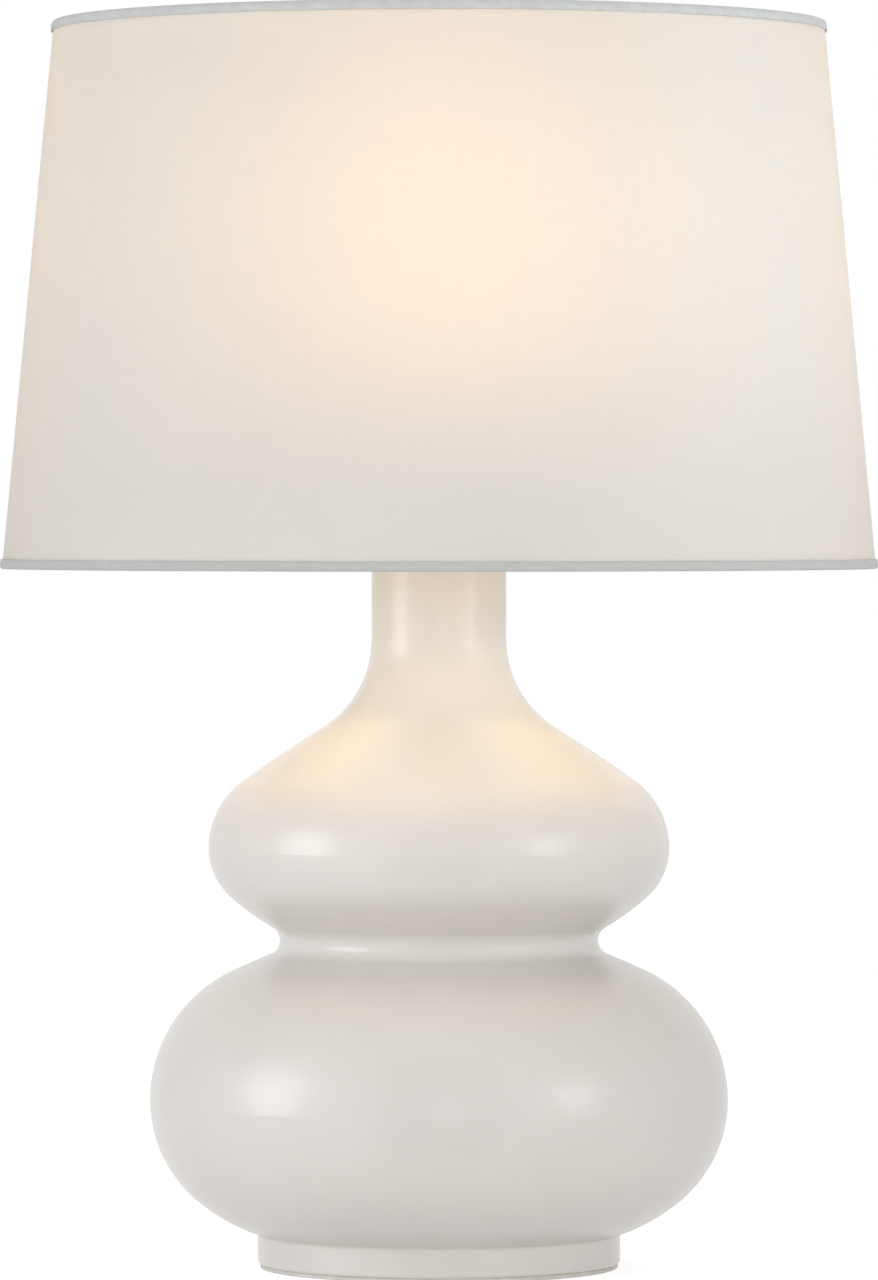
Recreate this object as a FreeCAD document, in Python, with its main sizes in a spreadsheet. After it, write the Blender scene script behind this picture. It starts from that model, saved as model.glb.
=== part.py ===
import FreeCAD, Part
import math
import os
import re
import Sketcher

# Double gourd table lamp: a slip-cast glazed body clamped on a threaded tube, which carries a
# lamp socket, a harp and a tapered drum shade of linen.
# Millimetres, +Z up, the front towards -Y, the origin at the middle of the felt on the table.

V = FreeCAD.Vector
UP = V(0, 0, 1)

doc = FreeCAD.newDocument("double_gourd_lamp")

# Driving sizes

SIZES = (
    ("felt_thickness", 2.0, "felt disc under the foot"),
    ("felt_setback", 3.0, "felt edge inside the foot edge"),
    ("foot_radius", 95.5, "foot ring, outside"),
    ("foot_wall", 9.0, "foot ring, wall"),
    ("foot_recess_depth", 17.0, "wiring recess inside the foot ring"),
    ("foot_round", 2.2, "outer bottom edge of the foot ring"),
    ("recess_round", 1.5, "inner bottom edge of the foot ring"),
    ("floor_thickness", 7.0, "clay floor over the recess"),
    ("crease_height", 15.6, "where the lower lobe leaves the foot ring"),
    ("crease_round", 2.0, "glaze pooled in the foot crease"),
    ("wall_thickness", 7.0, "cast clay wall"),
    ("lower_lobe_radius", 152.3, "widest place of the lower lobe"),
    ("lower_lobe_height", 86.4, "height of that place over the foot"),
    ("lower_nose_below", 69.0, "curve just below the widest place"),
    ("lower_flank_below", 107.2, "curve from there to the foot"),
    ("lower_nose_above", 74.6, "curve just above the widest place"),
    ("lower_flank_above", 672.0, "curve from there to the waist"),
    ("waist_radius", 83.9, "narrowest place of the waist"),
    ("waist_rise", 83.9, "waist over the lower lobe's widest place"),
    ("waist_round", 8.06, "hollow curve of the waist"),
    ("upper_lobe_radius", 121.4, "widest place of the upper lobe"),
    ("upper_lobe_rise", 48.8, "height of that place over the waist"),
    ("upper_flank_below", 148.5, "curve from the waist up"),
    ("upper_nose_below", 34.7, "curve just below the widest place"),
    ("upper_nose_above", 43.4, "curve just above the widest place"),
    ("shoulder_flank", 715.0, "curve of the shoulder"),
    ("neck_sweep", 54.8, "hollow curve from shoulder to neck"),
    ("neck_sweep_rise", 109.9, "foot of the straight neck over the upper lobe's widest place"),
    ("neck_radius", 35.5, "neck, outside"),
    ("neck_length", 54.0, "straight part of the neck"),
    ("lip_round", 2.0, "outer edge of the neck rim"),
    ("lip_inner_round", 1.5, "inner edge of the neck rim"),
    ("pipe_radius", 4.9, "threaded lamp tube, outside"),
    ("pipe_bore_radius", 3.3, "threaded lamp tube, wire way"),
    ("thread_clearance", 0.1, "radial play of what is on the tube"),
    ("floor_hole_radius", 6.5, "hole for the tube in the clay floor"),
    ("bottom_washer_radius", 20.0, "large washer under the floor"),
    ("bottom_washer_thickness", 2.0, "large washer under the floor"),
    ("lock_washer_radius", 9.0, "toothed lock washer"),
    ("lock_washer_thickness", 1.2, "toothed lock washer"),
    ("bottom_nut_flats", 14.3, "bottom nut across flats"),
    ("bottom_nut_height", 5.0, "bottom nut"),
    ("pipe_tail", 1.5, "tube below the bottom nut"),
    ("cord_hole_height", 7.5, "cord outlet over the foot"),
    ("gland_bore_radius", 3.4, "cord way through the gland"),
    ("gland_radius", 5.0, "gland body"),
    ("gland_clearance", 0.2, "gland body in the foot ring"),
    ("gland_flange_radius", 6.4, "gland flange"),
    ("gland_flange_thickness", 1.5, "gland flange"),
    ("gland_tail", 2.5, "gland inside the foot ring"),
    ("gasket_thickness", 1.5, "rubber ring on the neck rim"),
    ("gasket_setback", 0.6, "gasket edges inside the rim edges"),
    ("neck_cap_thickness", 1.2, "pressed metal cap on the neck"),
    ("neck_cap_skirt", 7.0, "skirt of the cap over the neck"),
    ("neck_cap_clearance", 0.6, "skirt to neck"),
    ("cap_nut_flats", 14.0, "lock nut on the neck cap, across flats"),
    ("cap_nut_height", 4.0, "lock nut on the neck cap"),
    ("riser_height", 31.75, "turned riser between cap and socket"),
    ("riser_base_radius", 13.0, "riser foot"),
    ("riser_waist_radius", 9.0, "riser waist"),
    ("riser_top_radius", 11.0, "riser head"),
    ("riser_lip", 2.2, "height of riser foot and head"),
    ("riser_cove", 6.0, "height of the riser's hollow curves"),
    ("riser_sweep", 9.0, "hollow curves of the riser"),
    ("nut_clearance", 0.5, "riser around the lock nut"),
    ("saddle_thickness", 1.6, "harp saddle strip"),
    ("saddle_width", 9.5, "harp saddle strip"),
    ("saddle_disc_radius", 11.0, "round middle of the harp saddle"),
    ("saddle_reach", 28.2, "harp leg from the lamp's axis"),
    ("saddle_bend", 3.0, "inner bend of the saddle arms"),
    ("shoulder_height", 12.0, "shoulders that the sleeves rest on"),
    ("tongue_height", 22.0, "ends of the saddle arms"),
    ("tongue_width", 3.4, "ends of the saddle arms"),
    ("seat_gap", 0.2, "between a moving piece and its seat"),
    ("harp_height", 203.2, "saddle to washer seat, an 8 inch harp"),
    ("harp_wire_radius", 2.0, "harp wire"),
    ("harp_half_width", 58.0, "widest place of the harp"),
    ("harp_widest_height", 112.0, "height of that place over the saddle"),
    ("harp_foot_bend", 20.0, "bend above the straight leg"),
    ("harp_side_below", 70.0, "curve below the widest place"),
    ("harp_side_above", 150.0, "curve above the widest place"),
    ("harp_shoulder", 30.0, "curve at the top corners"),
    ("eyelet_radius", 6.5, "flattened eye at the top of the harp"),
    ("eyelet_height", 4.4, "flattened eye at the top of the harp"),
    ("sleeve_radius", 3.5, "locking sleeve, outside"),
    ("sleeve_bore_radius", 2.3, "locking sleeve, inside"),
    ("sleeve_length", 16.0, "locking sleeve"),
    ("sleeve_rim", 0.4, "rounded ends of the sleeve"),
    ("pivot_radius", 2.1, "swivel pin in the eye"),
    ("pivot_clearance", 0.08, "swivel pin in the eye, radial"),
    ("pivot_play", 0.1, "swivel pin in the eye, along its axis"),
    ("rivet_radius", 3.5, "riveted end of the swivel pin"),
    ("rivet_thickness", 1.2, "riveted end of the swivel pin"),
    ("platform_radius", 9.5, "plate that the shade rests on"),
    ("platform_thickness", 1.5, "plate that the shade rests on"),
    ("stud_radius", 3.0, "threaded stud through the washer"),
    ("stud_length", 13.0, "threaded stud above the plate"),
    ("stud_chamfer", 0.6, "end of the stud"),
    ("finial_clearance", 0.1, "finial bore on the stud"),
    ("finial_height", 24.0, "finial"),
    ("finial_base_radius", 7.0, "finial foot"),
    ("finial_base_height", 2.6, "finial foot"),
    ("finial_cove", 3.2, "hollow curve from foot to neck"),
    ("finial_neck_radius", 4.4, "finial neck"),
    ("finial_neck_height", 5.6, "finial neck"),
    ("finial_ball_radius", 7.6, "finial ball"),
    ("finial_bore_depth", 12.5, "finial bore"),
    ("socket_hub_radius", 6.8, "hub of the socket cap"),
    ("socket_hub_height", 8.0, "hub of the socket cap"),
    ("socket_wall", 0.8, "socket cap wall"),
    ("socket_dome_height", 19.0, "bell of the socket cap"),
    ("socket_dome_round", 11.0, "curve of the bell"),
    ("socket_cap_height", 26.0, "rim of the socket cap"),
    ("pipe_grip", 7.0, "tube inside the socket hub"),
    ("shell_radius", 16.4, "socket shell, outside"),
    ("shell_wall", 0.6, "socket shell"),
    ("shell_clearance", 0.1, "socket shell in the cap"),
    ("shell_ledge", 1.5, "socket shell above the bell"),
    ("shell_length", 41.5, "socket shell"),
    ("shell_bead", 1.0, "rolled rim of the socket shell"),
    ("shell_bead_round", 0.6, "curve of that rim"),
    ("liner_clearance", 0.2, "fibre sleeve in the shell"),
    ("liner_wall", 0.8, "fibre sleeve"),
    ("liner_setback", 1.5, "fibre sleeve inside both shell ends"),
    ("insulator_clearance", 0.3, "insulator in the fibre sleeve"),
    ("insulator_level", 22.0, "insulator over the saddle"),
    ("insulator_height", 14.0, "insulator"),
    ("insulator_flange", 3.0, "round top of the insulator"),
    ("terminal_flat", 9.5, "flats for the terminals, from the axis"),
    ("terminal_height", 5.0, "terminals over the insulator's foot"),
    ("terminal_shank_radius", 1.5, "terminal screw"),
    ("terminal_shank_length", 3.5, "terminal screw in the insulator"),
    ("terminal_head_radius", 2.8, "terminal screw"),
    ("terminal_head_thickness", 1.4, "terminal screw"),
    ("screw_clearance", 0.05, "small screws in their holes"),
    ("screw_shell_bore", 13.05, "threaded shell for the bulb"),
    ("screw_shell_wall", 0.85, "threaded shell for the bulb"),
    ("screw_shell_height", 22.0, "threaded shell for the bulb"),
    ("contact_thickness", 0.6, "centre contact strip"),
    ("contact_width", 6.0, "centre contact strip"),
    ("contact_length", 12.0, "centre contact strip"),
    ("contact_rise", 2.5, "centre contact strip"),
    ("set_screw_height", 4.0, "set screw over the saddle"),
    ("set_screw_radius", 1.5, "set screw"),
    ("set_screw_head_radius", 2.3, "set screw"),
    ("set_screw_head_thickness", 1.6, "set screw"),
    ("switch_height", 29.0, "switch shaft over the saddle"),
    ("switch_shaft_radius", 1.6, "switch shaft"),
    ("switch_shaft_inner", 5.0, "inner end of the shaft, from the axis"),
    ("switch_shaft_reach", 17.0, "shaft outside the shell"),
    ("switch_hole_clearance", 0.4, "shaft in shell and fibre sleeve"),
    ("switch_fit", 0.05, "shaft in the insulator"),
    ("knob_radius", 6.0, "switch knob"),
    ("knob_length", 10.0, "switch knob"),
    ("knob_cap", 1.5, "closed end of the knob"),
    ("knob_round", 1.0, "edge of the knob"),
    ("knob_flutes", 12, "grip flutes round the knob"),
    ("flute_radius", 0.9, "grip flute"),
    ("bulb_length", 110.0, "bulb from tip to crown"),
    ("globe_radius", 30.0, "bulb globe"),
    ("bulb_neck_radius", 14.0, "bulb neck"),
    ("bulb_flare", 40.0, "hollow curve from neck to globe"),
    ("bulb_wall", 0.8, "bulb glass"),
    ("bulb_seat_radius", 11.5, "glass inside the screw cap"),
    ("bulb_seat_height", 22.0, "lower end of the glass"),
    ("bulb_cap_height", 27.0, "screw cap rim"),
    ("bulb_cap_foot", 6.5, "screw cap's lower end"),
    ("bulb_cap_wall", 0.5, "screw cap at the thread root"),
    ("bulb_thread_pitch", 3.6, "bulb thread"),
    ("bulb_thread_depth", 0.8, "bulb thread"),
    ("bulb_thread_turns", 5, "bulb thread"),
    ("bulb_clearance", 0.1, "cement between glass and screw cap"),
    ("bulb_tip_radius", 4.5, "tip contact"),
    ("bulb_tip_height", 1.8, "tip contact"),
    ("bulb_tip_round", 0.9, "edge of the tip contact"),
    ("stem_radius", 2.5, "glass stem in the bulb"),
    ("stem_base_radius", 10.5, "flare of the stem"),
    ("stem_base_height", 2.0, "flare of the stem"),
    ("stem_length", 34.0, "glass stem in the bulb"),
    ("filament_radius", 0.4, "filament and its supports"),
    ("filament_half_span", 12.0, "filament and its supports"),
    ("filament_rise", 20.0, "filament over the stem"),
    ("filament_post", 2.0, "straight foot of a filament support"),
    ("wire_radius", 1.1, "insulated wire"),
    ("wire_offset", 1.3, "wire from the tube's axis"),
    ("wire_bend", 4.5, "tightest bend of the wires"),
    ("wire_fan_top", 19.0, "where the wires reach the terminals' flats"),
    ("wire_fan_foot", 10.0, "where the wires leave the tube"),
    ("wire_run", 14.0, "wires beside each other in the recess"),
    ("wire_recess_bend", 20.0, "bends of the wires in the recess"),
    ("wire_spread", 6.0, "wires apart in the recess, from the middle"),
    ("splice_radius", 2.2, "crimped wire splice"),
    ("splice_wall", 1.05, "crimped wire splice"),
    ("splice_length", 16.0, "crimped wire splice"),
    ("splice_distance", 50.0, "middle of the splices behind the tube"),
    ("splice_lift", 0.3, "splices over the felt"),
    ("shade_height", 287.25, "shade, rim to rim"),
    ("shade_top_radius", 202.8, "linen at the top rim"),
    ("shade_bottom_radius", 230.2, "linen at the bottom rim"),
    ("spider_drop", 31.0, "washer below the top rim"),
    ("linen_thickness", 0.6, "linen cover"),
    ("liner_thickness", 0.45, "stiff styrene lining"),
    ("glue_gap", 0.05, "between layers of the shade"),
    ("trim_thickness", 0.5, "rolled cloth trim"),
    ("trim_height", 5.0, "rolled cloth trim"),
    ("ring_radius", 1.5, "wire of the shade rings"),
    ("washer_radius", 12.0, "spider washer"),
    ("washer_thickness", 1.6, "spider washer"),
    ("washer_clearance", 0.4, "spider washer on the stud"),
    ("arm_radius", 1.3, "spider arm wire"),
    ("arm_count", 3, "spider arms"),
    ("arm_start", 8.2, "inner end of a spider arm"),
    ("arm_weld", 0.3, "arm sunk in the washer"),
    ("arm_run", 46.0, "sloping part of a spider arm"),
    ("arm_bend", 16.0, "bend of a spider arm"),
)

# Levels over the table and sizes that follow from the driving ones

LEVELS = (
    ("floor_under", "felt_thickness + foot_recess_depth"),
    ("floor_top", "floor_under + floor_thickness"),
    ("recess_radius", "foot_radius - foot_wall"),
    ("crease_level", "felt_thickness + crease_height"),
    ("lower_lobe_level", "felt_thickness + lower_lobe_height"),
    ("waist_level", "lower_lobe_level + waist_rise"),
    ("upper_lobe_level", "waist_level + upper_lobe_rise"),
    ("neck_sweep_level", "upper_lobe_level + neck_sweep_rise"),
    ("neck_top", "neck_sweep_level + neck_length"),
    ("thread_bore", "pipe_radius + thread_clearance"),
    ("bottom_washer_level", "floor_under - bottom_washer_thickness"),
    ("lock_washer_level", "bottom_washer_level - lock_washer_thickness"),
    ("bottom_nut_level", "lock_washer_level - bottom_nut_height"),
    ("pipe_bottom", "bottom_nut_level - pipe_tail"),
    ("cord_level", "felt_thickness + cord_hole_height"),
    ("neck_cap_under", "neck_top + gasket_thickness"),
    ("neck_cap_top", "neck_cap_under + neck_cap_thickness"),
    ("riser_top", "neck_cap_top + riser_height"),
    ("saddle_top", "riser_top + saddle_thickness"),
    ("washer_seat", "saddle_top + harp_height"),
    ("shade_top", "washer_seat + spider_drop"),
    ("shade_bottom", "shade_top - shade_height"),
    ("eyelet_level", "harp_height - platform_thickness - pivot_play - eyelet_height / 2"),
    ("rivet_level", "0 - platform_thickness - 2 * pivot_play - eyelet_height - rivet_thickness"),
    ("finial_ball_rise", "sqrt(finial_ball_radius ^ 2 - finial_neck_radius ^ 2)"),
    ("finial_ball_foot", "finial_height - finial_ball_radius - finial_ball_rise"),
    ("skirt_radius", "shell_radius + shell_clearance"),
    ("shell_level", "socket_dome_height + shell_ledge"),
    ("shell_bore", "shell_radius - shell_wall"),
    ("liner_radius", "shell_bore - liner_clearance"),
    ("liner_bore", "liner_radius - liner_wall"),
    ("insulator_radius", "liner_bore - insulator_clearance"),
    ("insulator_top", "insulator_level + insulator_height"),
    ("terminal_level", "insulator_level + terminal_height"),
    ("switch_hole", "switch_shaft_radius + switch_hole_clearance"),
    ("bulb_tip_level", "saddle_top + insulator_top + contact_rise + seat_gap"),
    ("globe_level", "bulb_length - globe_radius"),
    ("flare_reach", "bulb_neck_radius + bulb_flare"),
    ("flare_sum", "globe_radius + bulb_flare"),
    ("flare_drop", "sqrt(flare_sum ^ 2 - flare_reach ^ 2)"),
    ("bulb_cap_bore", "bulb_seat_radius + bulb_clearance"),
    ("bulb_root_radius", "bulb_cap_bore + bulb_cap_wall"),
    ("thread_arc", "bulb_thread_pitch ^ 2 / (8 * bulb_thread_depth) + bulb_thread_depth / 2"),
    ("wire_level", "felt_thickness + splice_lift + splice_radius"),
    ("wire_flat_x", "terminal_flat + wire_radius + screw_clearance"),
    ("shade_slope", "(shade_bottom_radius - shade_top_radius) / shade_height"),
    ("shell_inset", "linen_thickness + glue_gap + liner_thickness + glue_gap"),
    ("rim_gap", "trim_thickness + glue_gap"),
    ("ring_height", "rim_gap + ring_radius"),
    ("ring_inset", "shell_inset + ring_radius"),
    ("bottom_ring", "shade_bottom_radius - shade_slope * ring_height - ring_inset"),
    ("top_ring", "shade_bottom_radius - shade_slope * (shade_height - ring_height) - ring_inset"),
    ("arm_level", "washer_thickness + arm_radius - arm_weld"),
    ("arm_top", "spider_drop - ring_height"),
)

HOME = {name: "Sizes" for name, number, note in SIZES}
HOME.update({name: "Levels" for name, formula in LEVELS})


def bound(formula, own=None):
    """The formula with each name led by its sheet, apart from the names of its own sheet."""

    def lead(match):
        name = match[0]
        if name not in HOME or HOME[name] == own:
            return name
        return HOME[name] + "." + name

    return re.sub(r"[a-z][a-z_]*", lead, str(formula))


sizes = doc.addObject("Spreadsheet::Sheet", "Sizes")
for row, (name, number, note) in enumerate(SIZES, start=1):
    sizes.set(f"A{row}", name)
    sizes.set(f"B{row}", str(number))
    sizes.setAlias(f"B{row}", name)
    sizes.set(f"C{row}", note)
doc.recompute()

levels = doc.addObject("Spreadsheet::Sheet", "Levels")
for row, (name, formula) in enumerate(LEVELS, start=1):
    levels.set(f"A{row}", name)
    levels.set(f"B{row}", "=" + bound(formula, "Levels"))
    levels.setAlias(f"B{row}", name)
doc.recompute()


def value(formula):
    return float(sizes.evalExpression(bound(formula)))


# Sketches

def sketch_on(body, name, role="XZ_Plane", offset=None):
    """A sketch on one of the body's own planes, moved along the plane's normal by the offset."""
    sketch = body.newObject("Sketcher::SketchObject", name)
    plane = next(feature for feature in body.Origin.OriginFeatures if feature.Role == role)
    sketch.AttachmentSupport = [(plane, "")]
    sketch.MapMode = "FlatFace"
    if offset is not None:
        sketch.setExpression("AttachmentOffset.Base.z", bound(offset))
    return sketch


def hold(sketch, kind, geometry, formula):
    """Adds a constraint whose number stays bound to the sheets."""
    index = sketch.addConstraint(Sketcher.Constraint(kind, *geometry, value(formula)))
    sketch.setExpression(f"Constraints[{index}]", bound(formula))


def pin(sketch, edge, vertex, across, along):
    """Holds a vertex at its distances from the sketch's axes: its geometry -1 and -2, from -1's start."""
    for kind, formula, axis in (("DistanceX", across, -2), ("DistanceY", along, -1)):
        if formula == "0":
            sketch.addConstraint(Sketcher.Constraint("PointOnObject", edge, vertex, axis))
        elif formula is not None:
            hold(sketch, kind, (-1, 1, edge, vertex), formula)


def angle_of(centre, point):
    return math.atan2(point.y - centre.y, point.x - centre.x)


def add_arc(sketch, centre, radius, start, end, turn):
    """An arc from start to end, anticlockwise for a turn of 1; gives its edge and end vertices."""
    first, last = (start, end) if turn > 0 else (end, start)
    circle = Part.Circle(centre, UP, radius)
    edge = sketch.addGeometry(Part.ArcOfCircle(circle, angle_of(centre, first), angle_of(centre, last)))
    return (edge, 1, 2) if turn > 0 else (edge, 2, 1)


def add_line(sketch, start, end):
    return sketch.addGeometry(Part.LineSegment(start, end)), 1, 2


def join(sketch, one, other, kind="Coincident"):
    """Joins the end of one edge to the start of the other."""
    sketch.addConstraint(Sketcher.Constraint(kind, one[0], one[2], other[0], other[1]))


def outline(sketch, corners):
    """A closed outline. A corner is (across, along), and with (.., radius, turn) an arc follows."""
    points = [V(value(corner[0]), value(corner[1]), 0) for corner in corners]
    edges = []
    for i, corner in enumerate(corners):
        start = points[i]
        end = points[(i + 1) % len(points)]
        if len(corner) == 2:
            edges.append(add_line(sketch, start, end))
            continue
        radius, turn = value(corner[2]), corner[3]
        chord = end - start
        rise = math.sqrt(max(radius ** 2 - (chord.Length / 2) ** 2, 0))
        centre = (start + end) / 2 + V(-chord.y, chord.x, 0) * (turn * rise / chord.Length)
        edges.append(add_arc(sketch, centre, radius, start, end, turn))
    for i, corner in enumerate(corners):
        join(sketch, edges[i], edges[(i + 1) % len(edges)])
        pin(sketch, edges[i][0], edges[i][1], corner[0], corner[1])
        if len(corner) > 2:
            hold(sketch, "Radius", (edges[i][0],), corner[2])


def circle_in(sketch, across, along, radius):
    """A circle with its centre held from the sketch's axes."""
    edge = sketch.addGeometry(Part.Circle(V(value(across), value(along), 0), UP, value(radius)))
    pin(sketch, edge, 3, across, along)
    hold(sketch, "Radius", (edge,), radius)


def hexagon_in(sketch, across_flats):
    """A regular hexagon about the sketch's origin, two of its corners on the across axis."""
    reach = value(across_flats) / math.sqrt(3)
    guide = sketch.addGeometry(Part.Circle(V(0, 0, 0), UP, reach), True)
    pin(sketch, guide, 3, "0", "0")
    hold(sketch, "Radius", (guide,), f"{across_flats} / sqrt(3)")
    turns = [math.radians(60 * i) for i in range(7)]
    points = [V(math.cos(turn), math.sin(turn), 0) * reach for turn in turns]
    sides = [add_line(sketch, points[i], points[i + 1]) for i in range(6)]
    for i, side in enumerate(sides):
        join(sketch, side, sides[(i + 1) % 6])
        sketch.addConstraint(Sketcher.Constraint("PointOnObject", side[0], 1, guide))
        if i:
            sketch.addConstraint(Sketcher.Constraint("Equal", sides[0][0], side[0]))
    pin(sketch, sides[0][0], 1, None, "0")


def junction(one, other):
    """Where two tangent circles touch; each is (centre, radius, turn)."""
    outer, inner = (one, other) if one[1] >= other[1] else (other, one)
    if one[2] != other[2]:
        return one[0] + (other[0] - one[0]).normalize() * one[1]
    return outer[0] + (inner[0] - outer[0]).normalize() * outer[1]


def add_chain(sketch, start, rounds, end):
    """Arcs that follow each other without a corner, from start to end."""
    points = [start] + [junction(rounds[i], rounds[i + 1]) for i in range(len(rounds) - 1)] + [end]
    edges = []
    for i, (centre, radius, turn) in enumerate(rounds):
        edges.append(add_arc(sketch, centre, radius, points[i], points[i + 1], turn))
    return edges


def meeting(centre, radius, other, other_radius, side):
    """Where two circles cross, on the given side of the line between their centres."""
    line = other - centre
    along = (line.Length ** 2 + radius ** 2 - other_radius ** 2) / (2 * line.Length)
    aside = math.sqrt(radius ** 2 - along ** 2)
    line.normalize()
    return centre + line * along + V(-line.y, line.x, 0) * (side * aside)


def bent_path(sketch, corners, bend):
    """An open path of straight runs, each inner corner rounded by the bend radius."""
    points = [V(value(across), value(along), 0) for across, along in corners]
    radius = value(bend)
    begin = points[0]
    last = None
    for i in range(1, len(points)):
        run = (points[i] - points[i - 1]).normalize()
        if i == len(points) - 1:
            line = add_line(sketch, begin, points[i])
        else:
            onward = (points[i + 1] - points[i]).normalize()
            trim = radius * math.tan(run.getAngle(onward) / 2)
            line = add_line(sketch, begin, points[i] - run * trim)
        if last is None:
            pin(sketch, line[0], 1, *corners[0])
        else:
            join(sketch, last, line, "Tangent")
            sketch.addConstraint(Sketcher.Constraint("PointOnObject", corner, 1, line[0]))
        if i == len(points) - 1:
            pin(sketch, line[0], 2, *corners[i])
            return
        corner = sketch.addGeometry(Part.Point(points[i]), True)
        pin(sketch, corner, 1, *corners[i])
        sketch.addConstraint(Sketcher.Constraint("PointOnObject", corner, 1, line[0]))
        turn = 1 if run.cross(onward).z > 0 else -1
        centre = points[i] - run * trim + V(-run.y, run.x, 0) * (turn * radius)
        begin = points[i] + onward * trim
        last = add_arc(sketch, centre, radius, points[i] - run * trim, begin, turn)
        join(sketch, line, last, "Tangent")
        hold(sketch, "Radius", (last[0],), bend)


# Solid features

pieces = []


def new_body(label, level=None, exported=True):
    """A body that stands at the level; the exported ones are the lamp's own pieces."""
    body = doc.addObject("PartDesign::Body", label)
    body.Label = label
    if level is not None:
        body.setExpression("Placement.Base.z", bound(level))
    if exported:
        pieces.append(body)
    return body


def spin(body, sketch, kind="Revolution"):
    """Turns the sketch about the vertical axis, as a Revolution or a Groove."""
    before = volume_of(body)
    feature = body.newObject("PartDesign::" + kind, sketch.Name + "_" + kind.lower())
    feature.Profile = sketch
    feature.ReferenceAxis = (sketch, ["V_Axis"])
    feature.Angle = 360
    doc.recompute()
    check_change(body, before, kind == "Groove")
    return feature


def volume_of(body):
    return 0 if body.Shape.isNull() else body.Shape.Volume


def check_change(body, before, cutting):
    change = volume_of(body) - before
    if cutting and change > -0.001 or not cutting and change < 0.001:
        raise RuntimeError(f"{body.Label}: a feature changed the volume by {change:.4f}")


def pad(body, sketch, length, symmetric=False, reverse=False):
    before = volume_of(body)
    feature = body.newObject("PartDesign::Pad", sketch.Name + "_pad")
    feature.Profile = sketch
    feature.setExpression("Length", bound(length))
    feature.SideType = "Symmetric" if symmetric else "One side"
    feature.Reversed = reverse
    doc.recompute()
    check_change(body, before, False)
    return feature


def pocket(body, sketch, length=None, symmetric=False, reverse=False):
    """Cuts the sketch into the body, right through it where no length is given."""
    before = volume_of(body)
    feature = body.newObject("PartDesign::Pocket", sketch.Name + "_pocket")
    feature.Profile = sketch
    feature.SideType = "Symmetric" if symmetric else "One side"
    feature.Reversed = reverse
    if length is None:
        feature.Type = "ThroughAll"
    else:
        feature.setExpression("Length", bound(length))
    doc.recompute()
    check_change(body, before, True)
    return feature


def turned(label, corners, level=None, exported=True):
    """A piece turned from one closed outline."""
    body = new_body(label, level, exported)
    sketch = sketch_on(body, label + "_section")
    outline(sketch, corners)
    spin(body, sketch)
    return body


def ring_corners(inner, outer, bottom, top):
    return [(inner, bottom), (outer, bottom), (outer, top), (inner, top)]


def round_edges(body, spots, radius):
    """Rounds the circular edges at the given radii and heights."""
    base = body.Tip
    found = []
    for ring, height in spots:
        for i, edge in enumerate(base.Shape.Edges, start=1):
            if not isinstance(edge.Curve, Part.Circle):
                continue
            if abs(edge.Curve.Radius - value(ring)) > 0.01:
                continue
            if abs(edge.Curve.Center.z - value(height)) < 0.01:
                found.append(f"Edge{i}")
                break
        else:
            raise RuntimeError(f"{body.Label}: no edge at radius {ring}, height {height}")
    fillet = body.newObject("PartDesign::Fillet", body.Name + "_round")
    fillet.Base = (base, found)
    fillet.setExpression("Radius", bound(radius))
    doc.recompute()


def hex_nut(label, flats, height, level):
    """A hexagonal nut on the lamp tube."""
    body = new_body(label, level)
    blank = sketch_on(body, label + "_hexagon", "XY_Plane")
    hexagon_in(blank, flats)
    pad(body, blank, height)
    bore = sketch_on(body, label + "_bore", "XY_Plane")
    circle_in(bore, "0", "0", "thread_bore")
    pocket(body, bore, symmetric=True)
    return body


def pipe_along(body, path, profile, name):
    feature = body.newObject("PartDesign::AdditivePipe", name)
    feature.Profile = profile
    feature.Spine = (path, [])
    doc.recompute()
    return feature


def swept_tube(label, route, radius):
    """A round wire along straight runs joined by arcs; each point is (x, y, z, bend)."""
    points = [V(*[value(part) for part in stop[:3]]) for stop in route]
    edges = []
    begin = points[0]
    for i in range(1, len(points) - 1):
        run = (points[i] - points[i - 1]).normalize()
        onward = (points[i + 1] - points[i]).normalize()
        bend = value(route[i][3])
        half_turn = run.getAngle(onward) / 2
        trim = bend * math.tan(half_turn)
        enter = points[i] - run * trim
        leave = points[i] + onward * trim
        inward = (onward - run).normalize()
        middle = points[i] + inward * (bend / math.cos(half_turn) - bend)
        edges.append(Part.LineSegment(begin, enter).toShape())
        edges.append(Part.Arc(enter, middle, leave).toShape())
        begin = leave
    edges.append(Part.LineSegment(begin, points[-1]).toShape())
    path = Part.Wire(edges)
    start_run = points[1] - points[0]
    profile = Part.Wire([Part.Circle(points[0], start_run, value(radius)).toShape()])
    feature = doc.addObject("Part::Feature", label)
    feature.Label = label
    feature.Shape = path.makePipeShell([profile], True, False)
    feature.Placement = FreeCAD.Placement()
    share = feature.Shape.Volume / (math.pi * value(radius) ** 2 * path.Length)
    print(f"{label}: {path.Length:.1f} long, its volume {share:.4f} of section times length")
    return feature


def pair(label, one, normal):
    """Two identical pieces, one the mirror of the other, as one group of separate solids."""
    other = doc.addObject("Part::Mirroring", label + "_mirror")
    other.Source = one
    other.Base = V(0, 0, 0)
    other.Normal = normal
    group = doc.addObject("Part::Compound", label)
    group.Label = label
    group.Links = [one, other]
    pieces.append(group)
    doc.recompute()
    return group


# Felt pad: a disc glued under the foot ring, which closes the wiring recess

turned("felt_pad", ring_corners("0", "foot_radius - felt_setback", "0", "felt_thickness"))


# Ceramic body: one casting, its wall parallel to the glazed profile

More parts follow.
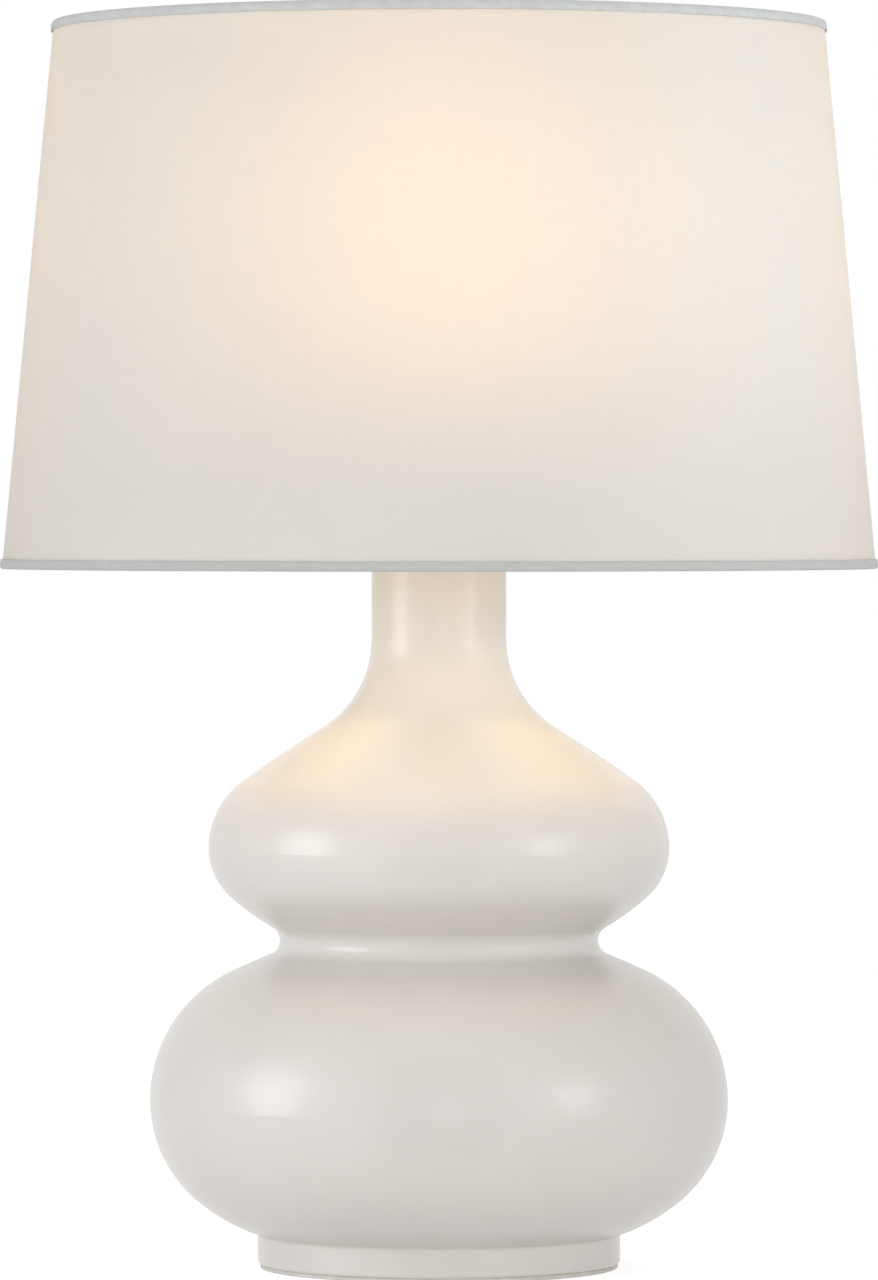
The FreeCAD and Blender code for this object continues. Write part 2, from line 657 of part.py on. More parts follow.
def gourd_outline(sketch, inset, bottom, top):
    """The gourd's profile set in from the glaze, closed by the axis, a floor and a top line."""
    inside = inset != "0"
    crease = V(value("foot_radius"), value("crease_level"), 0)
    waist = (V(value("waist_radius + waist_round"), value("waist_level"), 0), "waist_round", -1)
    sweep = (V(value("neck_radius + neck_sweep"), value("neck_sweep_level"), 0), "neck_sweep", -1)

    def nose(lobe, name):
        return V(value(f"{lobe}_lobe_radius - {name}"), value(f"{lobe}_lobe_level"), 0), name, 1

    def flank(small, other, name, side, sign):
        """A flank that lies outside the small circle and meets the other, or passes a point."""
        far = value(name) + sign * value(other[1]) if sign else value(name)
        centre = meeting(small[0], value(name) - value(small[1]), other[0], far, side)
        return centre, name, 1

    lower_below = nose("lower", "lower_nose_below")
    lower_above = nose("lower", "lower_nose_above")
    upper_below = nose("upper", "upper_nose_below")
    upper_above = nose("upper", "upper_nose_above")
    parts = [
        flank(lower_below, (crease, None), "lower_flank_below", -1, 0),
        lower_below,
        lower_above,
        flank(lower_above, waist, "lower_flank_above", 1, 1),
        waist,
        flank(upper_below, waist, "upper_flank_below", -1, 1),
        upper_below,
        upper_above,
        flank(upper_above, sweep, "shoulder_flank", 1, 1),
        sweep,
    ]
    radii = []
    for _, name, turn in parts:
        sign = "-" if turn > 0 else "+"
        radii.append(f"{name} {sign} {inset}" if inside else name)
    rounds = [(part[0], value(radius), part[2]) for part, radius in zip(parts, radii)]
    start = crease
    if inside:
        fall = value(bottom) - rounds[0][0].y
        start = V(rounds[0][0].x + math.sqrt(rounds[0][1] ** 2 - fall ** 2), value(bottom), 0)
    neck_radius = f"neck_radius - {inset}" if inside else "neck_radius"
    neck_foot = V(value(neck_radius), value("neck_sweep_level"), 0)
    edges = add_chain(sketch, start, rounds, neck_foot)
    neck = add_line(sketch, neck_foot, V(neck_foot.x, value(top), 0))
    lid = add_line(sketch, V(neck_foot.x, value(top), 0), V(0, value(top), 0))
    axis = add_line(sketch, V(0, value(top), 0), V(0, value(bottom), 0))
    floor_end = V(start.x, value(bottom), 0)
    floor = add_line(sketch, V(0, value(bottom), 0), floor_end)

    for edge, radius in zip(edges, radii):
        hold(sketch, "Radius", (edge[0],), radius)
    for i in range(len(edges) - 1):
        widest = i in (1, 6)
        join(sketch, edges[i], edges[i + 1], "Coincident" if widest else "Tangent")
    for i, lobe in ((1, "lower"), (6, "upper")):
        reach = f"{lobe}_lobe_radius" + (f" - {inset}" if inside else "")
        pin(sketch, edges[i][0], edges[i][2], reach, f"{lobe}_lobe_level")
        pin(sketch, edges[i][0], 3, None, f"{lobe}_lobe_level")
        pin(sketch, edges[i + 1][0], 3, None, f"{lobe}_lobe_level")
    pin(sketch, edges[4][0], 3, "waist_radius + waist_round", "waist_level")
    pin(sketch, edges[9][0], 3, None, "neck_sweep_level")
    join(sketch, edges[9], neck, "Tangent")
    sketch.addConstraint(Sketcher.Constraint("Vertical", neck[0]))
    join(sketch, neck, lid)
    join(sketch, lid, axis)
    join(sketch, axis, floor)
    pin(sketch, lid[0], 1, neck_radius, top)
    pin(sketch, axis[0], 1, "0", top)
    pin(sketch, floor[0], 1, "0", bottom)
    if inside:
        spoke = sketch.addGeometry(Part.LineSegment(crease, rounds[0][0]), True)
        pin(sketch, spoke, 1, "foot_radius", "crease_level")
        sketch.addConstraint(Sketcher.Constraint("Coincident", spoke, 2, edges[0][0], 3))
        hold(sketch, "Distance", (spoke,), "lower_flank_below")
        sketch.addConstraint(Sketcher.Constraint("Horizontal", floor[0]))
        join(sketch, floor, edges[0])
    else:
        wall = add_line(sketch, floor_end, crease)
        join(sketch, floor, wall)
        join(sketch, wall, edges[0])
        pin(sketch, wall[0], 1, "foot_radius", bottom)
        pin(sketch, wall[0], 2, "foot_radius", "crease_level")


ceramic = new_body("ceramic_body")
glaze = sketch_on(ceramic, "glazed_profile")
gourd_outline(glaze, "0", "felt_thickness", "neck_top")
spin(ceramic, glaze)
cavity = sketch_on(ceramic, "cast_cavity")
gourd_outline(cavity, "wall_thickness", "floor_top", "neck_top + wall_thickness")
spin(ceramic, cavity, "Groove")
recess = sketch_on(ceramic, "wiring_recess")
outline(recess, ring_corners("0", "recess_radius", "felt_thickness", "floor_under"))
spin(ceramic, recess, "Groove")
floor_hole = sketch_on(ceramic, "floor_hole", "XY_Plane", "floor_under")
circle_in(floor_hole, "0", "0", "floor_hole_radius")
pocket(ceramic, floor_hole, "floor_thickness", reverse=True)
round_edges(ceramic, [("foot_radius", "crease_level")], "crease_round")
round_edges(ceramic, [("foot_radius", "felt_thickness")], "foot_round")
round_edges(ceramic, [("recess_radius", "felt_thickness")], "recess_round")
round_edges(ceramic, [("neck_radius", "neck_top")], "lip_round")
round_edges(ceramic, [("neck_radius - wall_thickness", "neck_top")], "lip_inner_round")
cord_hole = sketch_on(ceramic, "cord_hole")
circle_in(cord_hole, "0", "cord_level", "gland_radius + gland_clearance")
pocket(ceramic, cord_hole)


# Lamp tube and the hardware that clamps the body on it

turned("lamp_pipe",
       ring_corners("pipe_bore_radius", "pipe_radius", "pipe_bottom", "saddle_top + pipe_grip"))
turned("bottom_washer",
       ring_corners("thread_bore", "bottom_washer_radius", "0", "bottom_washer_thickness"),
       "bottom_washer_level")
turned("bottom_lock_washer",
       ring_corners("thread_bore", "lock_washer_radius", "0", "lock_washer_thickness"),
       "lock_washer_level")
hex_nut("bottom_nut", "bottom_nut_flats", "bottom_nut_height", "bottom_nut_level")

gland = turned("cord_gland", [
    ("gland_bore_radius", "recess_radius - gland_tail"),
    ("gland_radius", "recess_radius - gland_tail"),
    ("gland_radius", "foot_radius"),
    ("gland_flange_radius", "foot_radius"),
    ("gland_flange_radius", "foot_radius + gland_flange_thickness"),
    ("gland_bore_radius", "foot_radius + gland_flange_thickness"),
])
gland.Placement.Rotation = FreeCAD.Rotation(V(1, 0, 0), -90)
gland.setExpression("Placement.Base.z", bound("cord_level"))

turned("neck_gasket",
       ring_corners("neck_radius - wall_thickness + gasket_setback", "neck_radius - gasket_setback",
                    "0", "gasket_thickness"),
       "neck_top")
turned("neck_cap", [
    ("thread_bore", "0"),
    ("neck_radius + neck_cap_clearance", "0"),
    ("neck_radius + neck_cap_clearance", "-neck_cap_skirt"),
    ("neck_radius + neck_cap_clearance + neck_cap_thickness", "-neck_cap_skirt"),
    ("neck_radius + neck_cap_clearance + neck_cap_thickness", "0", "neck_cap_thickness", 1),
    ("neck_radius + neck_cap_clearance", "neck_cap_thickness"),
    ("thread_bore", "neck_cap_thickness"),
], "neck_cap_under")
hex_nut("cap_nut", "cap_nut_flats", "cap_nut_height", "neck_cap_top")
turned("riser_neck", [
    ("cap_nut_flats / sqrt(3) + nut_clearance", "0"),
    ("riser_base_radius", "0"),
    ("riser_base_radius", "riser_lip", "riser_sweep", -1),
    ("riser_waist_radius", "riser_lip + riser_cove"),
    ("riser_waist_radius", "riser_height - riser_lip - riser_cove", "riser_sweep", -1),
    ("riser_top_radius", "riser_height - riser_lip"),
    ("riser_top_radius", "riser_height"),
    ("thread_bore", "riser_height"),
    ("thread_bore", "cap_nut_height + nut_clearance"),
    ("cap_nut_flats / sqrt(3) + nut_clearance", "cap_nut_height + nut_clearance"),
], "neck_cap_top")

# Harp: the saddle is clamped between riser and socket, the harp stands on its two tongues and two
# sliding sleeves lock it there

saddle = new_body("harp_saddle", "saddle_top")
strip = sketch_on(saddle, "saddle_strip")
INNER = "saddle_reach - saddle_thickness / 2"
OUTER = "saddle_reach + saddle_thickness / 2"
BEND_X = "saddle_reach - saddle_thickness / 2 - saddle_bend"
outline(strip, [
    (f"-({BEND_X})", "0"),
    (BEND_X, "0", "saddle_bend", 1),
    (INNER, "saddle_bend"),
    (INNER, "tongue_height"),
    (OUTER, "tongue_height"),
    (OUTER, "saddle_bend", "saddle_bend + saddle_thickness", -1),
    (BEND_X, "-saddle_thickness"),
    (f"-({BEND_X})", "-saddle_thickness", "saddle_bend + saddle_thickness", -1),
    (f"-({OUTER})", "saddle_bend"),
    (f"-({OUTER})", "tongue_height"),
    (f"-({INNER})", "tongue_height"),
    (f"-({INNER})", "saddle_bend", "saddle_bend", 1),
])
pad(saddle, strip, "saddle_width", symmetric=True)
disc = sketch_on(saddle, "saddle_disc", "XY_Plane", "-saddle_thickness")
circle_in(disc, "0", "0", "saddle_disc_radius")
pad(saddle, disc, "saddle_thickness")
for side in (1, -1):
    tongue = sketch_on(saddle, f"tongue_side_{side + 1}", "YZ_Plane")
    outline(tongue, ring_corners(f"{side} * tongue_width / 2", f"{side} * saddle_width",
                                 "shoulder_height", "tongue_height + saddle_thickness"))
    pocket(saddle, tongue, symmetric=True)
saddle_bore = sketch_on(saddle, "saddle_bore", "XY_Plane")
circle_in(saddle_bore, "0", "0", "thread_bore")
pocket(saddle, saddle_bore)

harp = new_body("harp_wire", "saddle_top")
loop = sketch_on(harp, "harp_half_loop")
leg_x = value("saddle_reach")
widest = V(value("harp_half_width"), value("harp_widest_height"), 0)
foot_radius = value("harp_foot_bend")
below_radius = value("harp_side_below")
above_radius = value("harp_side_above")
shoulder_radius = value("harp_shoulder")
below = V(widest.x - below_radius, widest.y, 0)
above = V(widest.x - above_radius, widest.y, 0)
foot_x = leg_x + foot_radius
foot_fall = math.sqrt((below_radius + foot_radius) ** 2 - (foot_x - below.x) ** 2)
foot = V(foot_x, widest.y - foot_fall, 0)
shoulder_y = value("eyelet_level") - shoulder_radius
shoulder_run = math.sqrt((above_radius - shoulder_radius) ** 2 - (shoulder_y - widest.y) ** 2)
shoulder = V(above.x + shoulder_run, shoulder_y, 0)
rounds = [(foot, foot_radius, -1), (below, below_radius, 1)]
leg_top = V(leg_x, foot.y, 0)
leg = add_line(loop, V(leg_x, value("tongue_height + seat_gap"), 0), leg_top)
lower = add_chain(loop, leg_top, rounds, widest)
crown = V(shoulder.x, shoulder_y + shoulder_radius, 0)
upper = add_chain(loop, widest, [(above, above_radius, 1), (shoulder, shoulder_radius, 1)], crown)
top_run = add_line(loop, crown, V(0, crown.y, 0))
pin(loop, leg[0], 1, "saddle_reach", "tongue_height + seat_gap")
loop.addConstraint(Sketcher.Constraint("Vertical", leg[0]))
join(loop, leg, lower[0], "Tangent")
join(loop, lower[0], lower[1], "Tangent")
join(loop, lower[1], upper[0])
pin(loop, lower[1][0], lower[1][2], "harp_half_width", "harp_widest_height")
pin(loop, lower[1][0], 3, None, "harp_widest_height")
pin(loop, upper[0][0], 3, None, "harp_widest_height")
join(loop, upper[0], upper[1], "Tangent")
join(loop, upper[1], top_run, "Tangent")
loop.addConstraint(Sketcher.Constraint("Horizontal", top_run[0]))
pin(loop, top_run[0], 2, "0", "eyelet_level")
for edge, radius in ((lower[0], "harp_foot_bend"), (lower[1], "harp_side_below"),
                     (upper[0], "harp_side_above"), (upper[1], "harp_shoulder")):
    hold(loop, "Radius", (edge[0],), radius)
wire_end = sketch_on(harp, "harp_wire_section", "XY_Plane", "tongue_height + seat_gap")
circle_in(wire_end, "saddle_reach", "0", "harp_wire_radius")
half_loop = pipe_along(harp, loop, wire_end, "harp_half")
whole_loop = harp.newObject("PartDesign::Mirrored", "harp_whole")
whole_loop.Originals = [half_loop]
mirror_plane = next(feature for feature in harp.Origin.OriginFeatures if feature.Role == "YZ_Plane")
whole_loop.MirrorPlane = (mirror_plane, [""])
harp.Tip = whole_loop
doc.recompute()
eye = sketch_on(harp, "harp_eye", "XY_Plane", "eyelet_level - eyelet_height / 2")
circle_in(eye, "0", "0", "eyelet_radius")
pad(harp, eye, "eyelet_height")
eye_bore = sketch_on(harp, "harp_eye_bore", "XY_Plane", "harp_height")
circle_in(eye_bore, "0", "0", "pivot_radius + pivot_clearance")
pocket(harp, eye_bore)

for side, name in ((-1, "sleeve_left"), (1, "sleeve_right")):
    sleeve = turned(name, ring_corners("sleeve_bore_radius", "sleeve_radius", "0", "sleeve_length"),
                    "saddle_top + shoulder_height + seat_gap")
    round_edges(sleeve, [("sleeve_radius", "0")], "sleeve_rim")
    round_edges(sleeve, [("sleeve_radius", "sleeve_length")], "sleeve_rim")
    sleeve.setExpression("Placement.Base.x", bound(f"{side} * saddle_reach"))

turned("harp_swivel_stud", [
    ("0", "rivet_level"),
    ("rivet_radius", "rivet_level"),
    ("rivet_radius", "rivet_level + rivet_thickness"),
    ("pivot_radius", "rivet_level + rivet_thickness"),
    ("pivot_radius", "-platform_thickness"),
    ("platform_radius", "-platform_thickness"),
    ("platform_radius", "0"),
    ("stud_radius", "0"),
    ("stud_radius", "stud_length - stud_chamfer"),
    ("stud_radius - stud_chamfer", "stud_length"),
    ("0", "stud_length"),
], "washer_seat")

turned("finial", [
    ("stud_radius + finial_clearance", "0"),
    ("finial_base_radius", "0"),
    ("finial_base_radius", "finial_base_height", "finial_cove", -1),
    ("finial_neck_radius", "finial_neck_height"),
    ("finial_neck_radius", "finial_ball_foot", "finial_ball_radius", 1),
    ("0", "finial_height"),
    ("0", "finial_bore_depth"),
    ("stud_radius + finial_clearance", "finial_bore_depth"),
], "washer_seat + washer_thickness")


# Socket: a pressed cap on the tube, and in it the shell, its fibre sleeve and the insulator with
# the threaded shell and the contacts for the bulb

socket_cap = turned("socket_cap", [
    ("thread_bore", "0"),
    ("socket_hub_radius", "0"),
    ("socket_hub_radius", "socket_hub_height", "socket_dome_round", 1),
    ("skirt_radius + socket_wall", "socket_dome_height"),
    ("skirt_radius + socket_wall", "socket_cap_height"),
    ("skirt_radius", "socket_cap_height"),
    ("skirt_radius", "shell_level"),
    ("shell_bore", "shell_level"),
    ("shell_bore", "socket_dome_height", "socket_dome_round - socket_wall", -1),
    ("thread_bore", "socket_hub_height + socket_wall"),
], "saddle_top")
set_screw_hole = sketch_on(socket_cap, "set_screw_hole")
circle_in(set_screw_hole, "0", "set_screw_height", "set_screw_radius + screw_clearance")
pocket(socket_cap, set_screw_hole)

set_screw = turned("socket_set_screw", [
    ("0", "pipe_radius + screw_clearance"),
    ("set_screw_radius", "pipe_radius + screw_clearance"),
    ("set_screw_radius", "socket_hub_radius + screw_clearance"),
    ("set_screw_head_radius", "socket_hub_radius + screw_clearance"),
    ("set_screw_head_radius", "socket_hub_radius + screw_clearance + set_screw_head_thickness"),
    ("0", "socket_hub_radius + screw_clearance + set_screw_head_thickness"),
])
set_screw.Placement.Rotation = FreeCAD.Rotation(V(1, 0, 0), -90)
set_screw.setExpression("Placement.Base.z", bound("saddle_top + set_screw_height"))

shell = turned("socket_shell", [
    ("shell_bore", "shell_level"),
    ("shell_radius", "shell_level"),
    ("shell_radius", "shell_level + shell_length - shell_bead", "shell_bead_round", 1),
    ("shell_radius", "shell_level + shell_length"),
    ("shell_bore", "shell_level + shell_length"),
], "saddle_top")
liner = turned("socket_liner", ring_corners("liner_bore", "liner_radius", "shell_level + liner_setback",
                                            "shell_level + shell_length - liner_setback"), "saddle_top")
for sleeve in (shell, liner):
    shaft_hole = sketch_on(sleeve, sleeve.Label + "_shaft_hole")
    circle_in(shaft_hole, "0", "switch_height", "switch_hole")
    pocket(sleeve, shaft_hole, reverse=True)

insulator = turned("socket_insulator",
                   ring_corners("0", "insulator_radius", "insulator_level", "insulator_top"), "saddle_top")
for side in (1, -1):
    flat = sketch_on(insulator, f"terminal_flat_{side + 1}", "XY_Plane", "insulator_level")
    outline(flat, ring_corners(f"{side} * terminal_flat", f"{side} * 2 * insulator_radius",
                               "-insulator_radius", "insulator_radius"))
    pocket(insulator, flat, "insulator_height - insulator_flange", reverse=True)
    screw_hole = sketch_on(insulator, f"terminal_hole_{side + 1}", "YZ_Plane", f"{side} * terminal_flat")
    circle_in(screw_hole, "0", "terminal_level", "terminal_shank_radius + screw_clearance")
    pocket(insulator, screw_hole, "terminal_shank_length + screw_clearance", reverse=side < 0)
shaft_bore = sketch_on(insulator, "switch_bore", "XZ_Plane", "switch_shaft_inner - seat_gap")
circle_in(shaft_bore, "0", "switch_height", "switch_shaft_radius + switch_fit")
pocket(insulator, shaft_bore, reverse=True)

turned("socket_screw_shell", ring_corners("screw_shell_bore", "screw_shell_bore + screw_shell_wall",
                                          "insulator_top", "insulator_top + screw_shell_height"),
       "saddle_top")

contact = new_body("socket_center_contact", "saddle_top + insulator_top")
strip = sketch_on(contact, "contact_strip")
outline(strip, [
    ("-contact_length / 2", "0"),
    ("contact_length / 2", "0"),
    ("contact_length / 2", "contact_rise"),
    ("-contact_length / 4", "contact_rise"),
    ("-contact_length / 4", "contact_rise - contact_thickness"),
    ("contact_length / 2 - contact_thickness", "contact_rise - contact_thickness"),
    ("contact_length / 2 - contact_thickness", "contact_thickness"),
    ("-contact_length / 2", "contact_thickness"),
])
pad(contact, strip, "contact_width", symmetric=True)

UNDER_HEAD = "terminal_shank_length + 2 * wire_radius + 2 * screw_clearance"
terminal = turned("terminal_screw", [
    ("0", "0"),
    ("terminal_shank_radius", "0"),
    ("terminal_shank_radius", UNDER_HEAD),
    ("terminal_head_radius", UNDER_HEAD),
    ("terminal_head_radius", UNDER_HEAD + " + terminal_head_thickness"),
    ("0", UNDER_HEAD + " + terminal_head_thickness"),
], exported=False)
terminal.Placement.Rotation = FreeCAD.Rotation(V(0, 1, 0), 90)
terminal.setExpression("Placement.Base.x", bound("terminal_flat - terminal_shank_length"))
terminal.setExpression("Placement.Base.z", bound("saddle_top + terminal_level"))
pair("terminal_screws", terminal, V(1, 0, 0))

# Switch: the knob's shaft turns the contacts inside the insulator

shaft = turned("switch_shaft", ring_corners("0", "switch_shaft_radius", "switch_shaft_inner",
                                            "shell_radius + switch_shaft_reach"),
               "saddle_top + switch_height")
KNOB_END = "shell_radius + switch_shaft_reach + knob_cap"
knob = turned("switch_knob", [
    ("switch_shaft_radius + switch_fit", KNOB_END + " - knob_length"),
    ("knob_radius", KNOB_END + " - knob_length"),
    ("knob_radius", KNOB_END),
    ("0", KNOB_END),
    ("0", "shell_radius + switch_shaft_reach"),
    ("switch_shaft_radius + switch_fit", "shell_radius + switch_shaft_reach"),
], "saddle_top + switch_height")
round_edges(knob, [("knob_radius", KNOB_END)], "knob_round")
flute = sketch_on(knob, "knob_flute", "XY_Plane", KNOB_END + " - knob_length")
circle_in(flute, "knob_radius + flute_radius / 2", "0", "flute_radius")
first_flute = pocket(knob, flute, "knob_length - knob_round", reverse=True)
flutes = knob.newObject("PartDesign::PolarPattern", "knob_flutes")
flutes.Originals = [first_flute]
turning_axis = next(feature for feature in knob.Origin.OriginFeatures if feature.Role == "Z_Axis")
flutes.Axis = (turning_axis, [""])
flutes.Angle = 360
flutes.setExpression("Occurrences", bound("knob_flutes"))
knob.Tip = flutes
doc.recompute()
for body in (shaft, knob):
    body.Placement.Rotation = FreeCAD.Rotation(V(1, 0, 0), 90)


# Wires: from the terminals down the tube, into the recess and to the splices for the supply cord

splice = turned("wire_splice", ring_corners("splice_radius - splice_wall", "splice_radius",
                                            "0", "splice_length"), exported=False)
splice.Placement.Rotation = FreeCAD.Rotation(V(1, 0, 0), -90)
splice.setExpression("Placement.Base.x", bound("wire_spread"))
splice.setExpression("Placement.Base.y", bound("splice_distance - splice_length / 2"))
splice.setExpression("Placement.Base.z", bound("wire_level"))
pair("wire_splices", splice, V(1, 0, 0))

WIRE_END = "saddle_top + terminal_level - terminal_shank_radius - screw_clearance"
for side, name in ((1, "live_wire"), (-1, "neutral_wire")):
    pieces.append(swept_tube(name, [
        (f"{side} * wire_flat_x", "0", WIRE_END),
        (f"{side} * wire_flat_x", "0", "saddle_top + wire_fan_top", "wire_bend"),
        (f"{side} * wire_offset", "0", "saddle_top + wire_fan_foot", "wire_bend"),
        (f"{side} * wire_offset", "0", "wire_level", "wire_bend"),
        (f"{side} * wire_offset", "wire_run", "wire_level", "wire_recess_bend"),
        (f"{side} * wire_spread", "2 * wire_run", "wire_level", "wire_recess_bend"),
        (f"{side} * wire_spread", "splice_distance", "wire_level"),
    ], "wire_radius"))


# Bulb: glass on a screw cap, with its insulator, tip contact, stem and filament

tip = turned("bulb_tip_contact", ring_corners("0", "bulb_tip_radius", "0", "bulb_tip_height"),
             "bulb_tip_level")
round_edges(tip, [("bulb_tip_radius", "0")], "bulb_tip_round")
turned("bulb_insulator", [
    ("0", "bulb_tip_height"),
    ("bulb_tip_radius + bulb_tip_round", "bulb_tip_height"),
    ("bulb_root_radius", "bulb_cap_foot"),
    ("0", "bulb_cap_foot"),
], "bulb_tip_level")

thread = []
for i in range(int(value("bulb_thread_turns"))):
    thread.append(("bulb_root_radius", f"bulb_cap_foot + {i} * bulb_thread_pitch", "thread_arc", 1))
turned("bulb_screw_cap", [("bulb_cap_bore", "bulb_cap_foot")] + thread + [
    ("bulb_root_radius", "bulb_cap_foot + bulb_thread_turns * bulb_thread_pitch"),
    ("bulb_root_radius", "bulb_cap_height"),
    ("bulb_cap_bore", "bulb_cap_height"),
], "bulb_tip_level")

GLOBE_SHARE = "flare_reach / flare_sum"
GLOBE_DROP = "flare_drop / flare_sum"
INSIDE = "(globe_radius - bulb_wall)"
NECK_FOOT = "bulb_cap_height + bulb_neck_radius - bulb_seat_radius"
turned("bulb_glass", [
    ("bulb_seat_radius - bulb_wall", "bulb_seat_height"),
    ("bulb_seat_radius", "bulb_seat_height"),
    ("bulb_seat_radius", "bulb_cap_height"),
    ("bulb_neck_radius", NECK_FOOT),
    ("bulb_neck_radius", "globe_level - flare_drop", "bulb_flare", -1),
    (f"globe_radius * {GLOBE_SHARE}", f"globe_level - globe_radius * {GLOBE_DROP}", "globe_radius", 1),
    ("0", "bulb_length"),
    ("0", "bulb_length - bulb_wall", "globe_radius - bulb_wall", -1),
    (f"{INSIDE} * {GLOBE_SHARE}", f"globe_level - {INSIDE} * {GLOBE_DROP}", "bulb_flare + bulb_wall", 1),
    ("bulb_neck_radius - bulb_wall", "globe_level - flare_drop"),
    ("bulb_neck_radius - bulb_wall", NECK_FOOT + " + bulb_wall / 2"),
    ("bulb_seat_radius - bulb_wall", "bulb_cap_height + bulb_wall / 2"),
], "bulb_tip_level")

turned("bulb_stem", [
    ("0", "bulb_seat_height"),
    ("stem_base_radius", "bulb_seat_height"),
    ("stem_base_radius", "bulb_seat_height + stem_base_height"),
    ("stem_radius", "bulb_seat_height + 2 * stem_base_height"),
    ("stem_radius", "bulb_seat_height + stem_length"),
    ("0", "bulb_seat_height + stem_length"),
], "bulb_tip_level")
STEM_TOP = "bulb_tip_level + bulb_seat_height + stem_length"
POST_X = "stem_radius - 2 * filament_radius"
pieces.append(swept_tube("bulb_filament", [
    (f"-({POST_X})", "0", STEM_TOP),
    (f"-({POST_X})", "0", STEM_TOP + " + filament_post", "4 * filament_radius"),
    ("-filament_half_span", "0", STEM_TOP + " + filament_rise", "4 * filament_radius"),
    ("filament_half_span", "0", STEM_TOP + " + filament_rise", "4 * filament_radius"),
    (POST_X, "0", STEM_TOP + " + filament_post", "4 * filament_radius"),
    (POST_X, "0", STEM_TOP),
], "filament_radius"))


# Shade: linen laminated on a stiff lining, a wire ring and a rolled trim at each rim, and a spider
# welded to the top ring, whose washer sits on the harp's stud

def at_skin(height, inset):
    """The distance from the axis of a place set in from the linen's face, at a height."""
    return f"shade_bottom_radius - shade_slope * ({height}) - ({inset})"


def layer(label, inset, thickness):
    low, high = "rim_gap", "shade_height - rim_gap"
    return turned(label, [
        (at_skin(low, f"{inset} + {thickness}"), low),
        (at_skin(low, inset), low),
        (at_skin(high, inset), high),
        (at_skin(high, f"{inset} + {thickness}"), high),
    ], "shade_bottom")


layer("shade_linen", "0", "linen_thickness")
layer("shade_liner", "linen_thickness + glue_gap", "liner_thickness")


def shade_ring(label, ring, height):
    body = new_body(label, "shade_bottom")
    wire = sketch_on(body, label + "_section")
    circle_in(wire, ring, height, "ring_radius")
    spin(body, wire)


shade_ring("shade_bottom_ring", "bottom_ring", "ring_height")
shade_ring("shade_top_ring", "top_ring", "shade_height - ring_height")

RING_INNER = "shell_inset + 2 * ring_radius"
for label, rim, step in (("shade_bottom_trim", "0", "+"),
                         ("shade_top_trim", "shade_height", "-")):
    hem = f"{rim} {step} trim_height"
    fold = f"{rim} {step} trim_thickness"
    turned(label, [
        (at_skin(rim, RING_INNER), rim),
        (at_skin(rim, "-trim_thickness - glue_gap"), rim),
        (at_skin(hem, "-trim_thickness - glue_gap"), hem),
        (at_skin(hem, "-glue_gap"), hem),
        (at_skin(fold, "-glue_gap"), fold),
        (at_skin(fold, RING_INNER), fold),
    ], "shade_bottom")

spider = turned("shade_spider", ring_corners("stud_radius + washer_clearance", "washer_radius",
                                             "0", "washer_thickness"), "washer_seat")
arm_line = sketch_on(spider, "arm_line", "YZ_Plane")
bent_path(arm_line, [("arm_start", "arm_level"), ("top_ring - arm_run", "arm_level"),
                     ("top_ring", "arm_top")], "arm_bend")
arm_end = sketch_on(spider, "arm_section", "XZ_Plane", "-arm_start")
circle_in(arm_end, "0", "arm_level", "arm_radius")
arm = pipe_along(spider, arm_line, arm_end, "spider_arm")
arms = spider.newObject("PartDesign::PolarPattern", "spider_arms")
arms.Originals = [arm]
spider_axis = next(feature for feature in spider.Origin.OriginFeatures if feature.Role == "Z_Axis")
arms.Axis = (spider_axis, [""])
arms.Angle = 360
arms.setExpression("Occurrences", bound("arm_count"))
spider.Tip = arms
doc.recompute()
ring_seat = sketch_on(spider, "ring_seat")
circle_in(ring_seat, "top_ring", "arm_top", "ring_radius + glue_gap")
spin(spider, ring_seat, "Groove")


# Every object has to be sound before its file is written

for item in doc.Objects:
    if "Invalid" in item.State or "Error" in item.State:
        raise RuntimeError(f"{item.Label} failed: {item.State}")
for piece in pieces:
    shape = piece.Shape
    if shape.isNull() or not shape.isValid() or not shape.Solids:
        raise RuntimeError(f"{piece.Label} has no valid shape")

os.makedirs("parts", exist_ok=True)
for piece in pieces:
    piece.Shape.exportStep(f"parts/{piece.Label}.step")
    box = piece.Shape.optimalBoundingBox(False, False)
    print(f"{piece.Label}: {len(piece.Shape.Solids)} solid(s), {piece.Shape.Volume:.1f} mm3, "
          f"x {box.XMin:.2f} to {box.XMax:.2f}, y {box.YMin:.2f} to {box.YMax:.2f}, "
          f"z {box.ZMin:.2f} to {box.ZMax:.2f}")
print(len(pieces), "pieces")
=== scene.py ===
"""A double gourd table lamp, lit, on a pale studio floor. Metres, +Z up, the front towards -Y."""

import math

